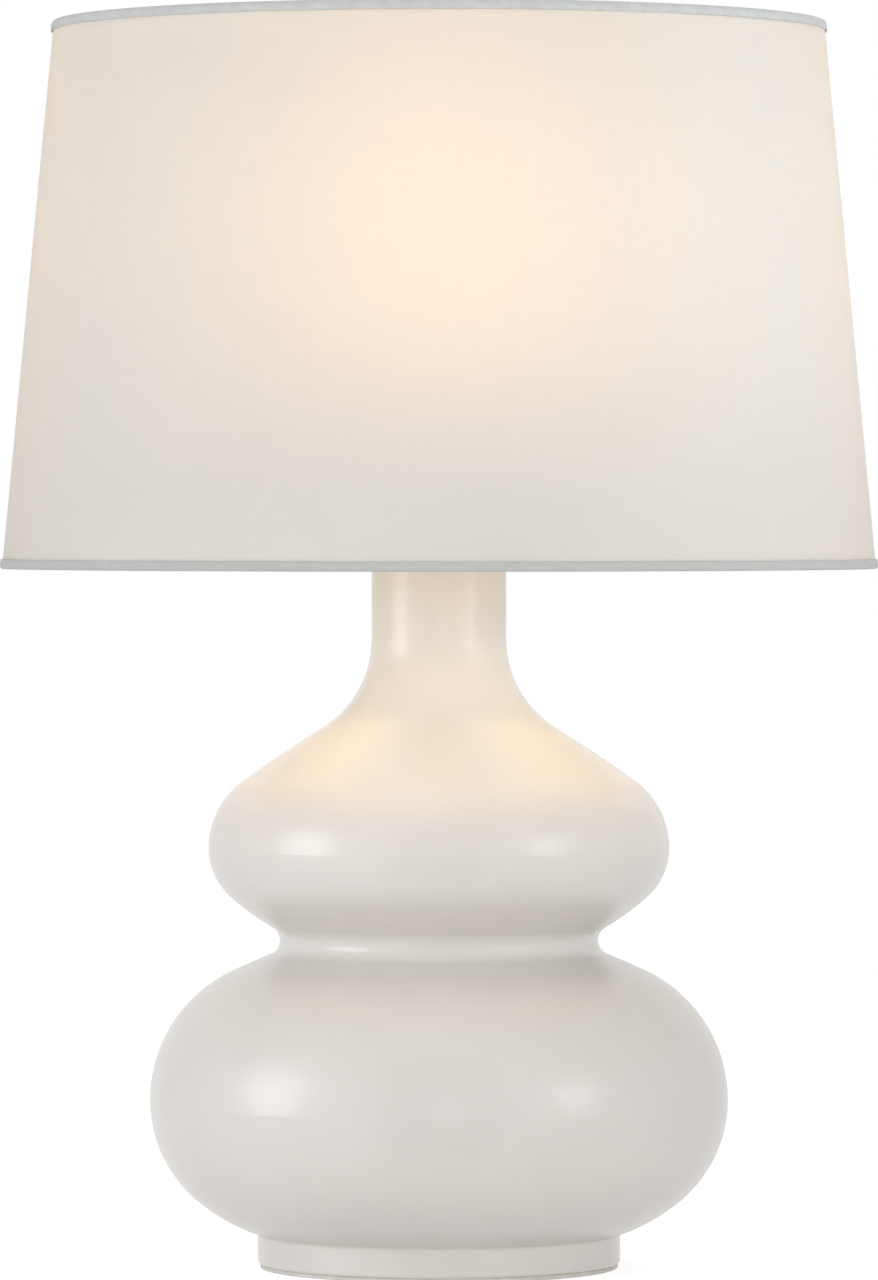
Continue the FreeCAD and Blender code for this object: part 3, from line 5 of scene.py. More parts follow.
import bmesh
import bpy
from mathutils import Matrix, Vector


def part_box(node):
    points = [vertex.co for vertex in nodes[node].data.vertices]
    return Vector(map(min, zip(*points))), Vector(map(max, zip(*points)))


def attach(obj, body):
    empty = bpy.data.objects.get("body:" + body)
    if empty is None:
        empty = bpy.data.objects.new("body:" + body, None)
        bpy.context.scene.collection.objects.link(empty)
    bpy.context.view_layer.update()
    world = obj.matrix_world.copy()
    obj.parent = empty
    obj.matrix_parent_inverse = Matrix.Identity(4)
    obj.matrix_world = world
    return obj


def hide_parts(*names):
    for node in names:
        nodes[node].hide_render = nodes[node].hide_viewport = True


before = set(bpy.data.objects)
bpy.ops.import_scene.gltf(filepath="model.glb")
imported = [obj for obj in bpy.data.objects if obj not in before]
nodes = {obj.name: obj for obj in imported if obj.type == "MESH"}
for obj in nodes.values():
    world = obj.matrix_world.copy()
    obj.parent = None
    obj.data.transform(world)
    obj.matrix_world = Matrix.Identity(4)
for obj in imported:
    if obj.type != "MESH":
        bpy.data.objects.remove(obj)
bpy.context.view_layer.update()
scene = bpy.context.scene
scene.view_settings.view_transform = "Standard"


# The camera stands well back from the lamp, at the height of the shade's lower half, and looks
# slightly down. A long lens keeps the rims nearly flat, as in a catalogue picture.

LENS_MM = 233.44
CAMERA_AT = (0.0, -4.370, 0.3988)
LOOKS_DOWN = math.radians(0.897)

camera = bpy.data.objects.new("camera", bpy.data.cameras.new("camera"))
camera.data.lens = LENS_MM
camera.data.sensor_width = 36.0
camera.location = CAMERA_AT
camera.rotation_euler = (math.pi / 2 - LOOKS_DOWN, 0, 0)
scene.collection.objects.link(camera)
scene.camera = camera


# Felt pad: a die-cut disc of pressed natural wool felt, 2 mm thick, glued under the foot. It
# closes the wiring recess and keeps the foot off the table. It is drawn 1.8 mm larger in radius
# than the CAD pad, so that its edge shows as a thin pale line under the foot.

FELT_EDGE = 0.0006
FELT_OUT = 0.0018
FELT_UNEVEN = 0.00005


def linear(colour):
    """The linear red, green and blue of an sRGB hex colour, with an alpha of 1."""
    parts = [int(colour[i : i + 2], 16) / 255 for i in (1, 3, 5)]
    return (*[p / 12.92 if p <= 0.04045 else ((p + 0.055) / 1.055) ** 2.4 for p in parts], 1)


def add(tree, kind, inputs=(), **settings):
    """Adds a node with its settings. An input given a socket is linked to it. One given a value
    holds it."""
    made = tree.nodes.new(f"ShaderNode{kind}")
    for name, value in settings.items():
        setattr(made, name, value)
    for name, value in dict(inputs).items():
        if isinstance(value, bpy.types.NodeSocket):
            tree.links.new(value, made.inputs[name])
        else:
            made.inputs[name].default_value = value
    return made


def surface(name, shader=()):
    """A new material, its node tree, and its one Principled shader with these inputs."""
    made = bpy.data.materials.new(name)
    made.use_nodes = True
    tree = made.node_tree
    tree.nodes.clear()
    principled = add(tree, "BsdfPrincipled", shader)
    add(tree, "OutputMaterial", {"Surface": principled.outputs[0]})
    return made, tree, principled


def tinted(tree, factor, *stops):
    """A colour ramp over a factor, with stops of (place, hex colour)."""
    ramp = add(tree, "ValToRGB", {"Fac": factor})
    elements = ramp.color_ramp.elements
    while len(elements) < len(stops):
        elements.new(0.5)
    for element, (place, colour) in zip(elements, sorted(stops)):
        element.position = place
        element.color = linear(colour)
    return ramp.outputs["Color"]


def lathe(name, profile, turns=360, closed=False, shape=None):
    """A surface turned about Z from (radius, height) points, with one vertex where a point is on
    the axis. shape gives each point's place from its radius, height and angle."""
    mesh = bmesh.new()
    rings = []
    for radius, height in profile:
        if radius < 1e-7:
            rings.append([mesh.verts.new((0, 0, height))])
            continue
        ring = []
        for step in range(turns):
            angle = 2 * math.pi * step / turns
            r, z = shape(radius, height, angle) if shape else (radius, height)
            ring.append(mesh.verts.new((r * math.sin(angle), -r * math.cos(angle), z)))
        rings.append(ring)
    pairs = list(zip(rings, rings[1:])) + ([(rings[-1], rings[0])] if closed else [])
    for low, high in pairs:
        for step in range(turns):
            after = (step + 1) % turns
            corners = [low[step % len(low)], low[after % len(low)]]
            corners += [high[after % len(high)], high[step % len(high)]]
            unique = list(dict.fromkeys(corners))
            if len(unique) > 2:
                mesh.faces.new(unique).smooth = True
    bmesh.ops.recalc_face_normals(mesh, faces=mesh.faces)
    data = bpy.data.meshes.new(name)
    mesh.to_mesh(data)
    mesh.free()
    made = bpy.data.objects.new(name, data)
    scene.collection.objects.link(made)
    return made


def place(piece, material, body, slot, *replaced):
    """Gives a piece its material and body, and hides the CAD nodes that it stands for. slot is not
    used.
    """
    piece.data.materials.clear()
    piece.data.materials.append(material)
    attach(piece, body)
    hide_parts(*replaced)


# Pressed wool felt: matt, with short fibres that lie every way and catch a little light at the edge.
felt, tree, shader = surface("pressed_wool_felt", {"Roughness": 1.0, "Sheen Weight": 0.35})
coords = add(tree, "TexCoord").outputs["Object"]
fibres = add(tree, "TexNoise", {"Vector": coords, "Scale": 900.0, "Detail": 6.0, "Distortion": 1.5})
clumps = add(tree, "TexNoise", {"Vector": coords, "Scale": 120.0, "Detail": 3.0})
both = add(tree, "Math", {0: fibres.outputs["Fac"], 1: clumps.outputs["Fac"]}, operation="MULTIPLY")
colour = tinted(tree, both.outputs[0], (0.12, "#CFCCC4"), (0.30, "#DCD9D2"), (0.48, "#E9E6DF"))
tree.links.new(colour, shader.inputs["Base Color"])
bump = add(tree, "Bump", {"Strength": 0.35, "Distance": 0.0006, "Height": fibres.outputs["Fac"]})
tree.links.new(bump.outputs[0], shader.inputs["Normal"])

felt_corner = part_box("felt_pad")[1]
felt_radius = felt_corner.x + FELT_OUT
felt_top = felt_corner.z


def cut_edge(radius, height, angle):
    """A die-cut felt edge, up to 0.3 mm uneven."""
    if radius < felt_radius - 2 * FELT_EDGE:
        return radius, height
    uneven = math.sin(23 * angle) + math.sin(57 * angle + 1) + math.sin(131 * angle + 2)
    return radius - FELT_UNEVEN * (3 + uneven), height


felt_pad = lathe(
    "felt_disc",
    [
        (0, 0),
        (felt_radius * 0.5, 0),
        (felt_radius - FELT_EDGE, 0),
        (felt_radius - FELT_EDGE * 0.3, FELT_EDGE * 0.3),
        (felt_radius, FELT_EDGE),
        (felt_radius, felt_top - FELT_EDGE),
        (felt_radius - FELT_EDGE * 0.3, felt_top - FELT_EDGE * 0.3),
        (felt_radius - FELT_EDGE, felt_top),
        (felt_radius * 0.5, felt_top),
        (0, felt_top),
    ],
    shape=cut_edge,
)
place(felt_pad, felt, "base", "felt", "felt_pad")


# Ceramic body: a slip-cast stoneware double gourd, dipped in an opaque white glaze and fired. The
# foot ring is wiped clean of glaze, so a thin line of bare clay shows over the felt.

# The heights between which the glaze gives way to bare clay.
CLAY_UNDER, GLAZE_OVER = 0.0021, 0.0027
SPECK_SIZE, SPECK_DEPTH = 0.035, 0.22


def dress(material, names):
    """Gives CAD nodes that keep their shape a material."""
    for name in names:
        nodes[name].data.materials.clear()
        nodes[name].data.materials.append(material)


# White gloss glaze over stoneware: a glassy skin of index 1.5 over a cream-white clay, faintly
# clouded, with a few pale specks. Its level waves slightly over some centimetres.
glaze, tree, shader = surface("opaque_white_gloss_glaze", {"IOR": 1.5})
coords = add(tree, "TexCoord").outputs["Object"]
height = add(tree, "SeparateXYZ", {0: coords}).outputs["Z"]
cloudy = add(tree, "TexNoise", {"Vector": coords, "Scale": 9.0, "Detail": 3.0, "Roughness": 0.6})
body_colour = tinted(tree, cloudy.outputs["Fac"], (0.35, "#D9D5CF"), (0.65, "#DDD9D3"))
specks = add(tree, "TexVoronoi", {"Vector": coords, "Scale": 55.0, "Randomness": 1.0})
speck = add(tree, "Math", {0: specks.outputs["Distance"], 1: SPECK_SIZE}, operation="LESS_THAN")
speck_share = add(tree, "Math", {0: speck.outputs[0], 1: SPECK_DEPTH}, operation="MULTIPLY")
speckled = add(
    tree,
    "Mix",
    {0: speck_share.outputs[0], 6: body_colour, 7: linear("#B9A88C")},
    data_type="RGBA",
)
bare = add(
    tree,
    "MapRange",
    {
        "Value": height,
        "From Min": CLAY_UNDER,
        "From Max": GLAZE_OVER,
        "To Min": 1.0,
        "To Max": 0.0,
    },
    interpolation_type="SMOOTHSTEP",
)
grog = add(tree, "TexNoise", {"Vector": coords, "Scale": 1500.0, "Detail": 4.0})
clay = tinted(tree, grog.outputs["Fac"], (0.3, "#DCD4C7"), (0.7, "#E6DFD4"))
footed = add(
    tree,
    "Mix",
    {0: bare.outputs[0], 6: speckled.outputs[2], 7: clay},
    data_type="RGBA",
)
tree.links.new(footed.outputs[2], shader.inputs["Base Color"])
gloss = add(tree, "MapRange", {"Value": bare.outputs[0], "To Min": 0.25, "To Max": 0.8})
tree.links.new(gloss.outputs[0], shader.inputs["Roughness"])
waves = add(tree, "TexNoise", {"Vector": coords, "Scale": 28.0, "Detail": 2.0, "Roughness": 0.4})
orange_peel = add(tree, "TexNoise", {"Vector": coords, "Scale": 260.0, "Detail": 2.0})
broad = add(tree, "Bump", {"Strength": 0.25, "Distance": 0.0005, "Height": waves.outputs["Fac"]})
fine = add(
    tree,
    "Bump",
    {
        "Strength": 0.05,
        "Distance": 0.0001,
        "Height": orange_peel.outputs["Fac"],
        "Normal": broad.outputs[0],
    },
)
tree.links.new(fine.outputs[0], shader.inputs["Normal"])
dress(glaze, ["ceramic_body"])


# Cord gland: a moulded nylon bush pressed into the hole at the back of the foot ring. The cord is
# not part of this model.

nylon, tree, shader = surface("moulded_nylon", {"IOR": 1.53, "Roughness": 0.38})
coords = add(tree, "TexCoord").outputs["Object"]
flow = add(tree, "TexNoise", {"Vector": coords, "Scale": 180.0, "Detail": 3.0, "Distortion": 0.8})
colour = tinted(tree, flow.outputs["Fac"], (0.3, "#CFCEC6"), (0.7, "#D9D8D0"))
tree.links.new(colour, shader.inputs["Base Color"])
grain = add(tree, "TexNoise", {"Vector": coords, "Scale": 2400.0, "Detail": 2.0})
bump = add(tree, "Bump", {"Strength": 0.2, "Distance": 0.0001, "Height": grain.outputs["Fac"]})
tree.links.new(bump.outputs[0], shader.inputs["Normal"])
dress(nylon, ["cord_gland"])


# Lamp tube and its hardware: threaded steel pipe from the foot to the socket, drawn tight on two
# washers and a nut under the floor, and on a nut over the neck cap. All zinc plated.

# Bright zinc on steel: a cool grey satin metal, its crystals faintly blotched.
zinc, tree, shader = surface("zinc_plated_steel", {"Metallic": 1.0})
coords = add(tree, "TexCoord").outputs["Object"]
spangle = add(tree, "TexVoronoi", {"Vector": coords, "Scale": 700.0, "Randomness": 1.0})
colour = tinted(tree, spangle.outputs["Color"], (0.0, "#A5A5A2"), (1.0, "#C4C6C6"))
tree.links.new(colour, shader.inputs["Base Color"])
rubbed = add(tree, "TexNoise", {"Vector": coords, "Scale": 350.0, "Detail": 4.0})
rough = add(tree, "MapRange", {"Value": rubbed.outputs["Fac"], "To Min": 0.26, "To Max": 0.5})
tree.links.new(rough.outputs[0], shader.inputs["Roughness"])
dress(
    zinc,
    ["lamp_pipe", "bottom_washer", "bottom_lock_washer", "bottom_nut", "cap_nut", "socket_set_screw"],
)


# Neck cap, riser and harp: spun and cast parts in brushed nickel plate. The cap closes the neck on
# a rubber ring, the turned riser lifts the socket, and the wire harp carries the shade.

# Brushed nickel plate: a warm grey metal, with fine lines left round the turning axis by the pad.
nickel, tree, shader = surface("brushed_nickel_plate", {"Metallic": 1.0, "Anisotropic": 0.4})
coords = add(tree, "TexCoord").outputs["Object"]
# The pad's lines are about 0.1 mm apart, drawn at 0.4 mm so that some show.
lines = add(tree, "Mapping", {"Vector": coords, "Scale": (60.0, 60.0, 2500.0)})
brushed = add(tree, "TexNoise", {"Vector": lines.outputs[0], "Scale": 1.0, "Detail": 3.0})
colour = tinted(tree, brushed.outputs["Fac"], (0.3, "#B5B1A8"), (0.7, "#CBC7BE"))
tree.links.new(colour, shader.inputs["Base Color"])
rough = add(tree, "MapRange", {"Value": brushed.outputs["Fac"], "To Min": 0.24, "To Max": 0.42})
tree.links.new(rough.outputs[0], shader.inputs["Roughness"])
bump = add(tree, "Bump", {"Strength": 0.15, "Distance": 0.0001, "Height": brushed.outputs["Fac"]})
tree.links.new(bump.outputs[0], shader.inputs["Normal"])
dress(
    nickel,
    ["neck_cap", "riser_neck", "harp_saddle", "harp_wire", "sleeve_left", "sleeve_right"]
    + ["harp_swivel_stud", "finial"],
)

# Moulded rubber: black, matt, dusty in its pores.
rubber, tree, shader = surface("moulded_rubber", {"Roughness": 0.75, "IOR": 1.52})
coords = add(tree, "TexCoord").outputs["Object"]
pores = add(tree, "TexNoise", {"Vector": coords, "Scale": 1300.0, "Detail": 4.0})
colour = tinted(tree, pores.outputs["Fac"], (0.35, "#161616"), (0.7, "#2C2B2A"))
tree.links.new(colour, shader.inputs["Base Color"])
dress(rubber, ["neck_gasket"])


# Socket: a brass shell and cap round a paper liner, with a screw shell, a centre contact and two
# terminal screws on a phenolic block. The switch shaft leaves it at the front.

# Satin brass: drawn and lacquered sheet, golden, with faint lines from the drawing.
brass, tree, shader = surface("satin_lacquered_brass", {"Metallic": 1.0, "Coat Weight": 0.25})
coords = add(tree, "TexCoord").outputs["Object"]
lines = add(tree, "Mapping", {"Vector": coords, "Scale": (900.0, 900.0, 40.0)})
drawn = add(tree, "TexNoise", {"Vector": lines.outputs[0], "Scale": 1.0, "Detail": 3.0})
colour = tinted(tree, drawn.outputs["Fac"], (0.3, "#BC9A55"), (0.7, "#D3B470"))
tree.links.new(colour, shader.inputs["Base Color"])
rough = add(tree, "MapRange", {"Value": drawn.outputs["Fac"], "To Min": 0.22, "To Max": 0.4})
tree.links.new(rough.outputs[0], shader.inputs["Roughness"])
dress(
    brass,
    ["socket_cap", "socket_shell", "socket_screw_shell", "socket_center_contact"]
    + ["terminal_screws", "switch_shaft"],
)

# Vulcanised fibre: a brown pressed paper tube, matt, with fibres lying round it.
fibre, tree, shader = surface("vulcanised_fibre_paper", {"Roughness": 0.82})
coords = add(tree, "TexCoord").outputs["Object"]
lay = add(tree, "Mapping", {"Vector": coords, "Scale": (300.0, 300.0, 1600.0)})
pulp = add(tree, "TexNoise", {"Vector": lay.outputs[0], "Scale": 1.0, "Detail": 5.0})
colour = tinted(tree, pulp.outputs["Fac"], (0.3, "#5B422B"), (0.7, "#7A5C3E"))
tree.links.new(colour, shader.inputs["Base Color"])
bump = add(tree, "Bump", {"Strength": 0.3, "Distance": 0.0001, "Height": pulp.outputs["Fac"]})
tree.links.new(bump.outputs[0], shader.inputs["Normal"])
dress(fibre, ["socket_liner"])

# Phenolic moulding: near black and glossy, its filler just showing as a paler fleck.
phenolic, tree, shader = surface("moulded_phenolic", {"IOR": 1.6, "Roughness": 0.22})
coords = add(tree, "TexCoord").outputs["Object"]
filler = add(tree, "TexVoronoi", {"Vector": coords, "Scale": 1100.0, "Randomness": 1.0})
colour = tinted(tree, filler.outputs["Distance"], (0.05, "#2E2823"), (0.3, "#14110F"))
tree.links.new(colour, shader.inputs["Base Color"])
dress(phenolic, ["socket_insulator", "switch_knob"])


# Wires: two insulated leads up the tube, each joined to the cord's place by a nylon splice that
# lies in the wiring recess.

# Extruded vinyl and moulded nylon: satin, of one index, faintly streaked where the die or the
# mould dragged.
for material_name, slot, node, dark, pale in (
    ("extruded_black_vinyl", "black_insulation", "live_wire", "#0E0E0E", "#1C1C1C"),
    ("extruded_white_vinyl", "white_insulation", "neutral_wire", "#BDBCB4", "#CDCCC5"),
    ("moulded_blue_nylon", "splice_nylon", "wire_splices", "#2F427A", "#3D5291"),
):
    plastic, tree, shader = surface(material_name, {"IOR": 1.53, "Roughness": 0.42})
    coords = add(tree, "TexCoord").outputs["Object"]
    drag = add(tree, "TexNoise", {"Vector": coords, "Scale": 800.0, "Detail": 3.0})
    colour = tinted(tree, drag.outputs["Fac"], (0.3, dark), (0.7, pale))
    tree.links.new(colour, shader.inputs["Base Color"])
    dress(plastic, [node])


# Bulb: a frosted pear-shaped glass on a rolled aluminium screw cap, glowing warm white. A point
# light inside it lights the shade, and the glass lets that light by.

GLOW_AT = (0.0, 0.0, 0.552)
GLOW_RADIUS = 0.017
BULB_WATTS = 1.665
BULB_NECK, BULB_BELLY = 0.482, 0.54

# Frosted opal glass, lit: it shows no filament, and glows more deeply orange at its neck.
opal, tree, shader = surface(
    "frosted_opal_glass",
    {"IOR": 1.5, "Roughness": 0.35, "Emission Strength": 0.42},
)
coords = add(tree, "TexCoord").outputs["Object"]
frost = add(tree, "TexNoise", {"Vector": coords, "Scale": 60.0, "Detail": 2.0})
colour = tinted(tree, frost.outputs["Fac"], (0.3, "#EDE2D6"), (0.7, "#F3E9DE"))
tree.links.new(colour, shader.inputs["Base Color"])
bulb_height = add(tree, "SeparateXYZ", {0: coords}).outputs["Z"]
up_the_bulb = add(
    tree, "MapRange", {"Value": bulb_height, "From Min": BULB_NECK, "From Max": BULB_BELLY}
)
glow = tinted(tree, up_the_bulb.outputs[0], (0.0, "#C98A4E"), (0.5, "#FFBE7C"), (1.0, "#FFCB98"))
tree.links.new(glow, shader.inputs["Emission Color"])
dress(opal, ["bulb_glass"])
nodes["bulb_glass"].visible_shadow = False

# Rolled aluminium: bright, soft, lightly scuffed round the screw.
aluminium, tree, shader = surface("rolled_aluminium", {"Metallic": 1.0})
coords = add(tree, "TexCoord").outputs["Object"]
lines = add(tree, "Mapping", {"Vector": coords, "Scale": (120.0, 120.0, 3000.0)})
scuffs = add(tree, "TexNoise", {"Vector": lines.outputs[0], "Scale": 1.0, "Detail": 3.0})
colour = tinted(tree, scuffs.outputs["Fac"], (0.3, "#C3C2BF"), (0.7, "#DAD9D6"))
tree.links.new(colour, shader.inputs["Base Color"])
rough = add(tree, "MapRange", {"Value": scuffs.outputs["Fac"], "To Min": 0.2, "To Max": 0.4})
tree.links.new(rough.outputs[0], shader.inputs["Roughness"])
dress(aluminium, ["bulb_screw_cap", "bulb_tip_contact"])

# Fused black glass: the bead between the screw cap and its tip.
bead, tree, shader = surface("fused_black_glass", {"IOR": 1.52, "Roughness": 0.12})
coords = add(tree, "TexCoord").outputs["Object"]
swirl = add(tree, "TexNoise", {"Vector": coords, "Scale": 500.0, "Distortion": 2.0})
colour = tinted(tree, swirl.outputs["Fac"], (0.3, "#121214"), (0.7, "#1F1F24"))
tree.links.new(colour, shader.inputs["Base Color"])
dress(bead, ["bulb_insulator"])

# Clear lead-free glass: the pinched stem that carries the filament's posts.
clear, tree, shader = surface("clear_stem_glass", {"IOR": 1.52, "Transmission Weight": 0.9})
coords = add(tree, "TexCoord").outputs["Object"]
pinch = add(tree, "TexNoise", {"Vector": coords, "Scale": 300.0})
rough = add(tree, "MapRange", {"Value": pinch.outputs["Fac"], "To Min": 0.02, "To Max": 0.1})
tree.links.new(rough.outputs[0], shader.inputs["Roughness"])
colour = tinted(tree, pinch.outputs["Fac"], (0.3, "#E4ECEA"), (0.7, "#F0F4F2"))
tree.links.new(colour, shader.inputs["Base Color"])
dress(clear, ["bulb_stem"])

# Drawn tungsten: a grey coil on two posts.
tungsten, tree, shader = surface("drawn_tungsten", {"Metallic": 1.0})
coords = add(tree, "TexCoord").outputs["Object"]
drawn = add(tree, "TexNoise", {"Vector": coords, "Scale": 1500.0, "Detail": 2.0})
colour = tinted(tree, drawn.outputs["Fac"], (0.3, "#77716A"), (0.7, "#938C83"))
tree.links.new(colour, shader.inputs["Base Color"])
rough = add(tree, "MapRange", {"Value": drawn.outputs["Fac"], "To Min": 0.3, "To Max": 0.5})
tree.links.new(rough.outputs[0], shader.inputs["Roughness"])
dress(tungsten, ["bulb_filament"])
for name in ("bulb_stem", "bulb_filament"):
    nodes[name].visible_shadow = False

glow_light = bpy.data.lights.new("bulb_glow", "POINT")
glow_light.energy = BULB_WATTS
glow_light.color = linear("#FFE3C0")[:3]
glow_light.shadow_soft_size = GLOW_RADIUS
bulb_lamp = bpy.data.objects.new("bulb_glow", glow_light)
bulb_lamp.location = GLOW_AT
# The glaze mirrors the frosted glass, not the small light in it.
bulb_lamp.visible_glossy = False
scene.collection.objects.link(bulb_lamp)


# Shade: white linen stretched and glued over a white styrene sheet, on two rings of powder-coated
# wire. The upper ring's three arms carry it on the harp. The cloth laps at the back.

# The cone of the cloth as (radius, height) at both rims, and the heights of its cut edges.
CONE_LOW, CONE_HIGH = (0.2302, 0.3680), (0.2028, 0.65525)
LINEN_LOW, LINEN_HIGH = 0.36855, 0.65470
LAP = 0.012
LAP_LIFT = 0.0004
# The glue under the lap ends a quarter of its width beyond it.
GLUE_END = 1.25
ROWS, COLUMNS = 72, 720


def linen_radius(height):
    """The radius of the cloth's cone at a height."""
    share = (height - CONE_LOW[1]) / (CONE_HIGH[1] - CONE_LOW[1])
    return CONE_LOW[0] + share * (CONE_HIGH[0] - CONE_LOW[0])


def show(tree, socket):
    """Sends a mixed shader to the material's output."""
    for node in tree.nodes:
        if node.bl_idname == "ShaderNodeOutputMaterial":
            tree.links.new(socket, node.inputs["Surface"])


# The cloth is a sector of a flat ring. Its warp runs up the middle of the front.
fall = math.hypot(CONE_HIGH[1] - CONE_LOW[1], CONE_LOW[0] - CONE_HIGH[0])
cone_sine = (CONE_LOW[0] - CONE_HIGH[0]) / fall
lap_angle = LAP / CONE_LOW[0]
span = 2 * math.pi + lap_angle
mesh = bmesh.new()
flat_map = mesh.loops.layers.uv.new("flat_cloth")
glued = mesh.verts.layers.float.new("glued_under")
grid, flat_at = [], {}
for row in range(ROWS + 1):
    z = LINEN_LOW + (LINEN_HIGH - LINEN_LOW) * row / ROWS
    slant = linen_radius(z) / cone_sine
    line = []
    for column in range(COLUMNS + 1):
        angle = span * (column / COLUMNS - 0.5)
        # The cloth lies LAP_LIFT inside its cone, and rises to it where it laps over its start.
        rise = min(1.0, max(0.0, (angle - (math.pi - lap_angle * 1.5)) / (lap_angle * 2)))
        radius = linen_radius(z) - LAP_LIFT * (1 - rise**2 * (3 - 2 * rise))
        vertex = mesh.verts.new((radius * math.sin(angle), -radius * math.cos(angle), z))
        vertex[glued] = min(1.0, max(0.0, GLUE_END - (angle + span / 2) / lap_angle))
        flat_angle = angle * cone_sine
        flat_at[vertex] = (slant * math.sin(flat_angle), slant * math.cos(flat_angle))
        line.append(vertex)
    grid.append(line)
for low, high in zip(grid, grid[1:]):
    for column in range(COLUMNS):
        after = column + 1
        face = mesh.faces.new((low[column], low[after], high[after], high[column]))
        face.smooth = True
        for loop in face.loops:
            loop[flat_map].uv = flat_at[loop.vert]
data = bpy.data.meshes.new("linen_cover")
mesh.to_mesh(data)
mesh.free()
linen_cover = bpy.data.objects.new("linen_cover", data)
scene.collection.objects.link(linen_cover)

# Plain-woven white linen: matt and slightly uneven, with thicker slubs here and there. Light from
# the bulb comes through it, and warmest where one looks straight at the bulb.
linen, tree, shader = surface("plain_woven_linen", {"Roughness": 0.9, "Sheen Weight": 0.15})
# The real threads lie 0.6 mm apart. They are drawn 1.3 mm apart, so that the weave just shows.
THREAD = 0.0013
CROSSING_SHARE = 0.14
# A slub runs 45 mm up the warp or 50 mm along the weft.
WARP_SLUB, WEFT_SLUB = 0.045, 0.05
# The shares of light that the cloth spreads evenly behind it, and that keep near their direction.
LIGHT_THROUGH, LIGHT_AHEAD = 0.0955, 0.059
# Under the lap the glue has soaked in, and more light comes through there.
GLUED_THROUGH = 0.7
flat = add(tree, "UVMap", uv_map="flat_cloth").outputs[0]
across = add(tree, "SeparateXYZ", {0: flat})
threads = []
for axis in ("X", "Y"):
    turns = add(
        tree, "Math", {0: across.outputs[axis], 1: 2 * math.pi / THREAD}, operation="MULTIPLY"
    )
    threads.append(add(tree, "Math", {0: turns.outputs[0]}, operation="SINE").outputs[0])
crossing = add(tree, "Math", {0: threads[0], 1: threads[1]}, operation="MULTIPLY").outputs[0]
slubs = []
for scale in ((1 / THREAD, 1 / WARP_SLUB, 1.0), (1 / WEFT_SLUB, 1 / THREAD, 1.0)):
    stretched = add(tree, "Mapping", {"Vector": flat, "Scale": scale})
    slub = add(tree, "TexNoise", {"Vector": stretched.outputs[0], "Scale": 1.0, "Detail": 1.0})
    slubs.append(slub.outputs["Fac"])
slub_sum = add(tree, "Math", {0: slubs[0], 1: slubs[1]}, operation="ADD").outputs[0]
weave = add(
    tree, "Math", {0: crossing, 1: CROSSING_SHARE, 2: slub_sum}, operation="MULTIPLY_ADD"
).outputs[0]
even = add(tree, "MapRange", {"Value": weave, "From Min": 0.65, "From Max": 1.35}).outputs[0]
cloth_colour = tinted(tree, even, (0.0, "#D5D3D0"), (1.0, "#D7D5D2"))
tree.links.new(cloth_colour, shader.inputs["Base Color"])
bump = add(tree, "Bump", {"Strength": 0.06, "Distance": 0.0003, "Height": weave})
tree.links.new(bump.outputs[0], shader.inputs["Normal"])
# The evenly spread light loses the bulb's warmth and leaves the edges of the shade nearly white. The
# light that keeps its direction makes the warm glow in front of the bulb. An index of 1.9 with full
# roughness is not glass: it sets how wide that glow is.
even_glow = tinted(tree, even, (0.0, "#BBDEF6"), (1.0, "#BFE2FA"))
warm_glow = tinted(tree, even, (0.0, "#F2BC42"), (1.0, "#F6C046"))
through = add(tree, "BsdfTranslucent", {"Color": even_glow})
ahead = add(tree, "BsdfRefraction", {"Color": warm_glow, "Roughness": 1.0, "IOR": 1.9})
soaked = add(tree, "Attribute", attribute_name="glued_under").outputs["Fac"]
spread = add(tree, "MapRange", {"Value": soaked, "To Min": LIGHT_THROUGH, "To Max": GLUED_THROUGH})
soft_light = add(
    tree,
    "MixShader",
    {0: spread.outputs[0], 1: shader.outputs[0], 2: through.outputs[0]},
)
cloth = add(tree, "MixShader", {0: LIGHT_AHEAD, 1: soft_light.outputs[0], 2: ahead.outputs[0]})
show(tree, cloth.outputs[0])
place(linen_cover, linen, "shade", "linen", "shade_linen")

# Styrene sheet: smooth, white and a little glossy, seen from inside the shade. More than half of the
# light that meets it goes on into the cloth.
STYRENE_THROUGH = 0.6
styrene, tree, shader = surface("white_styrene_sheet", {"IOR": 1.59, "Roughness": 0.45})
coords = add(tree, "TexCoord").outputs["Object"]
calender = add(tree, "TexNoise", {"Vector": coords, "Scale": 40.0, "Detail": 2.0})
colour = tinted(tree, calender.outputs["Fac"], (0.3, "#ECEAE4"), (0.7, "#F1EFE9"))
tree.links.new(colour, shader.inputs["Base Color"])
lit_from_inside = add(tree, "BsdfTranslucent", {"Color": colour})
sheet = add(
    tree,
    "MixShader",
    {0: STYRENE_THROUGH, 1: shader.outputs[0], 2: lit_from_inside.outputs[0]},
)
show(tree, sheet.outputs[0])
dress(styrene, ["shade_liner"])
nodes["shade_liner"].visible_shadow = False

# Powder-coated wire: white, satin, with the coat's fine orange peel.
powder, tree, shader = surface("white_powder_coat", {"IOR": 1.5, "Roughness": 0.4})
coords = add(tree, "TexCoord").outputs["Object"]
peel = add(tree, "TexNoise", {"Vector": coords, "Scale": 900.0, "Detail": 2.0})
colour = tinted(tree, peel.outputs["Fac"], (0.3, "#DCDBD4"), (0.7, "#E4E3DC"))
tree.links.new(colour, shader.inputs["Base Color"])
bump = add(tree, "Bump", {"Strength": 0.2, "Distance": 0.0001, "Height": peel.outputs["Fac"]})
tree.links.new(bump.outputs[0], shader.inputs["Normal"])
dress(powder, ["shade_top_ring", "shade_bottom_ring", "shade_spider"])


# Trims: strips of the same linen, rolled over each rim and glued. Three layers of cloth over the
# ring stop the bulb's light, so they look greyer than the shade, and their threads show as ribs.

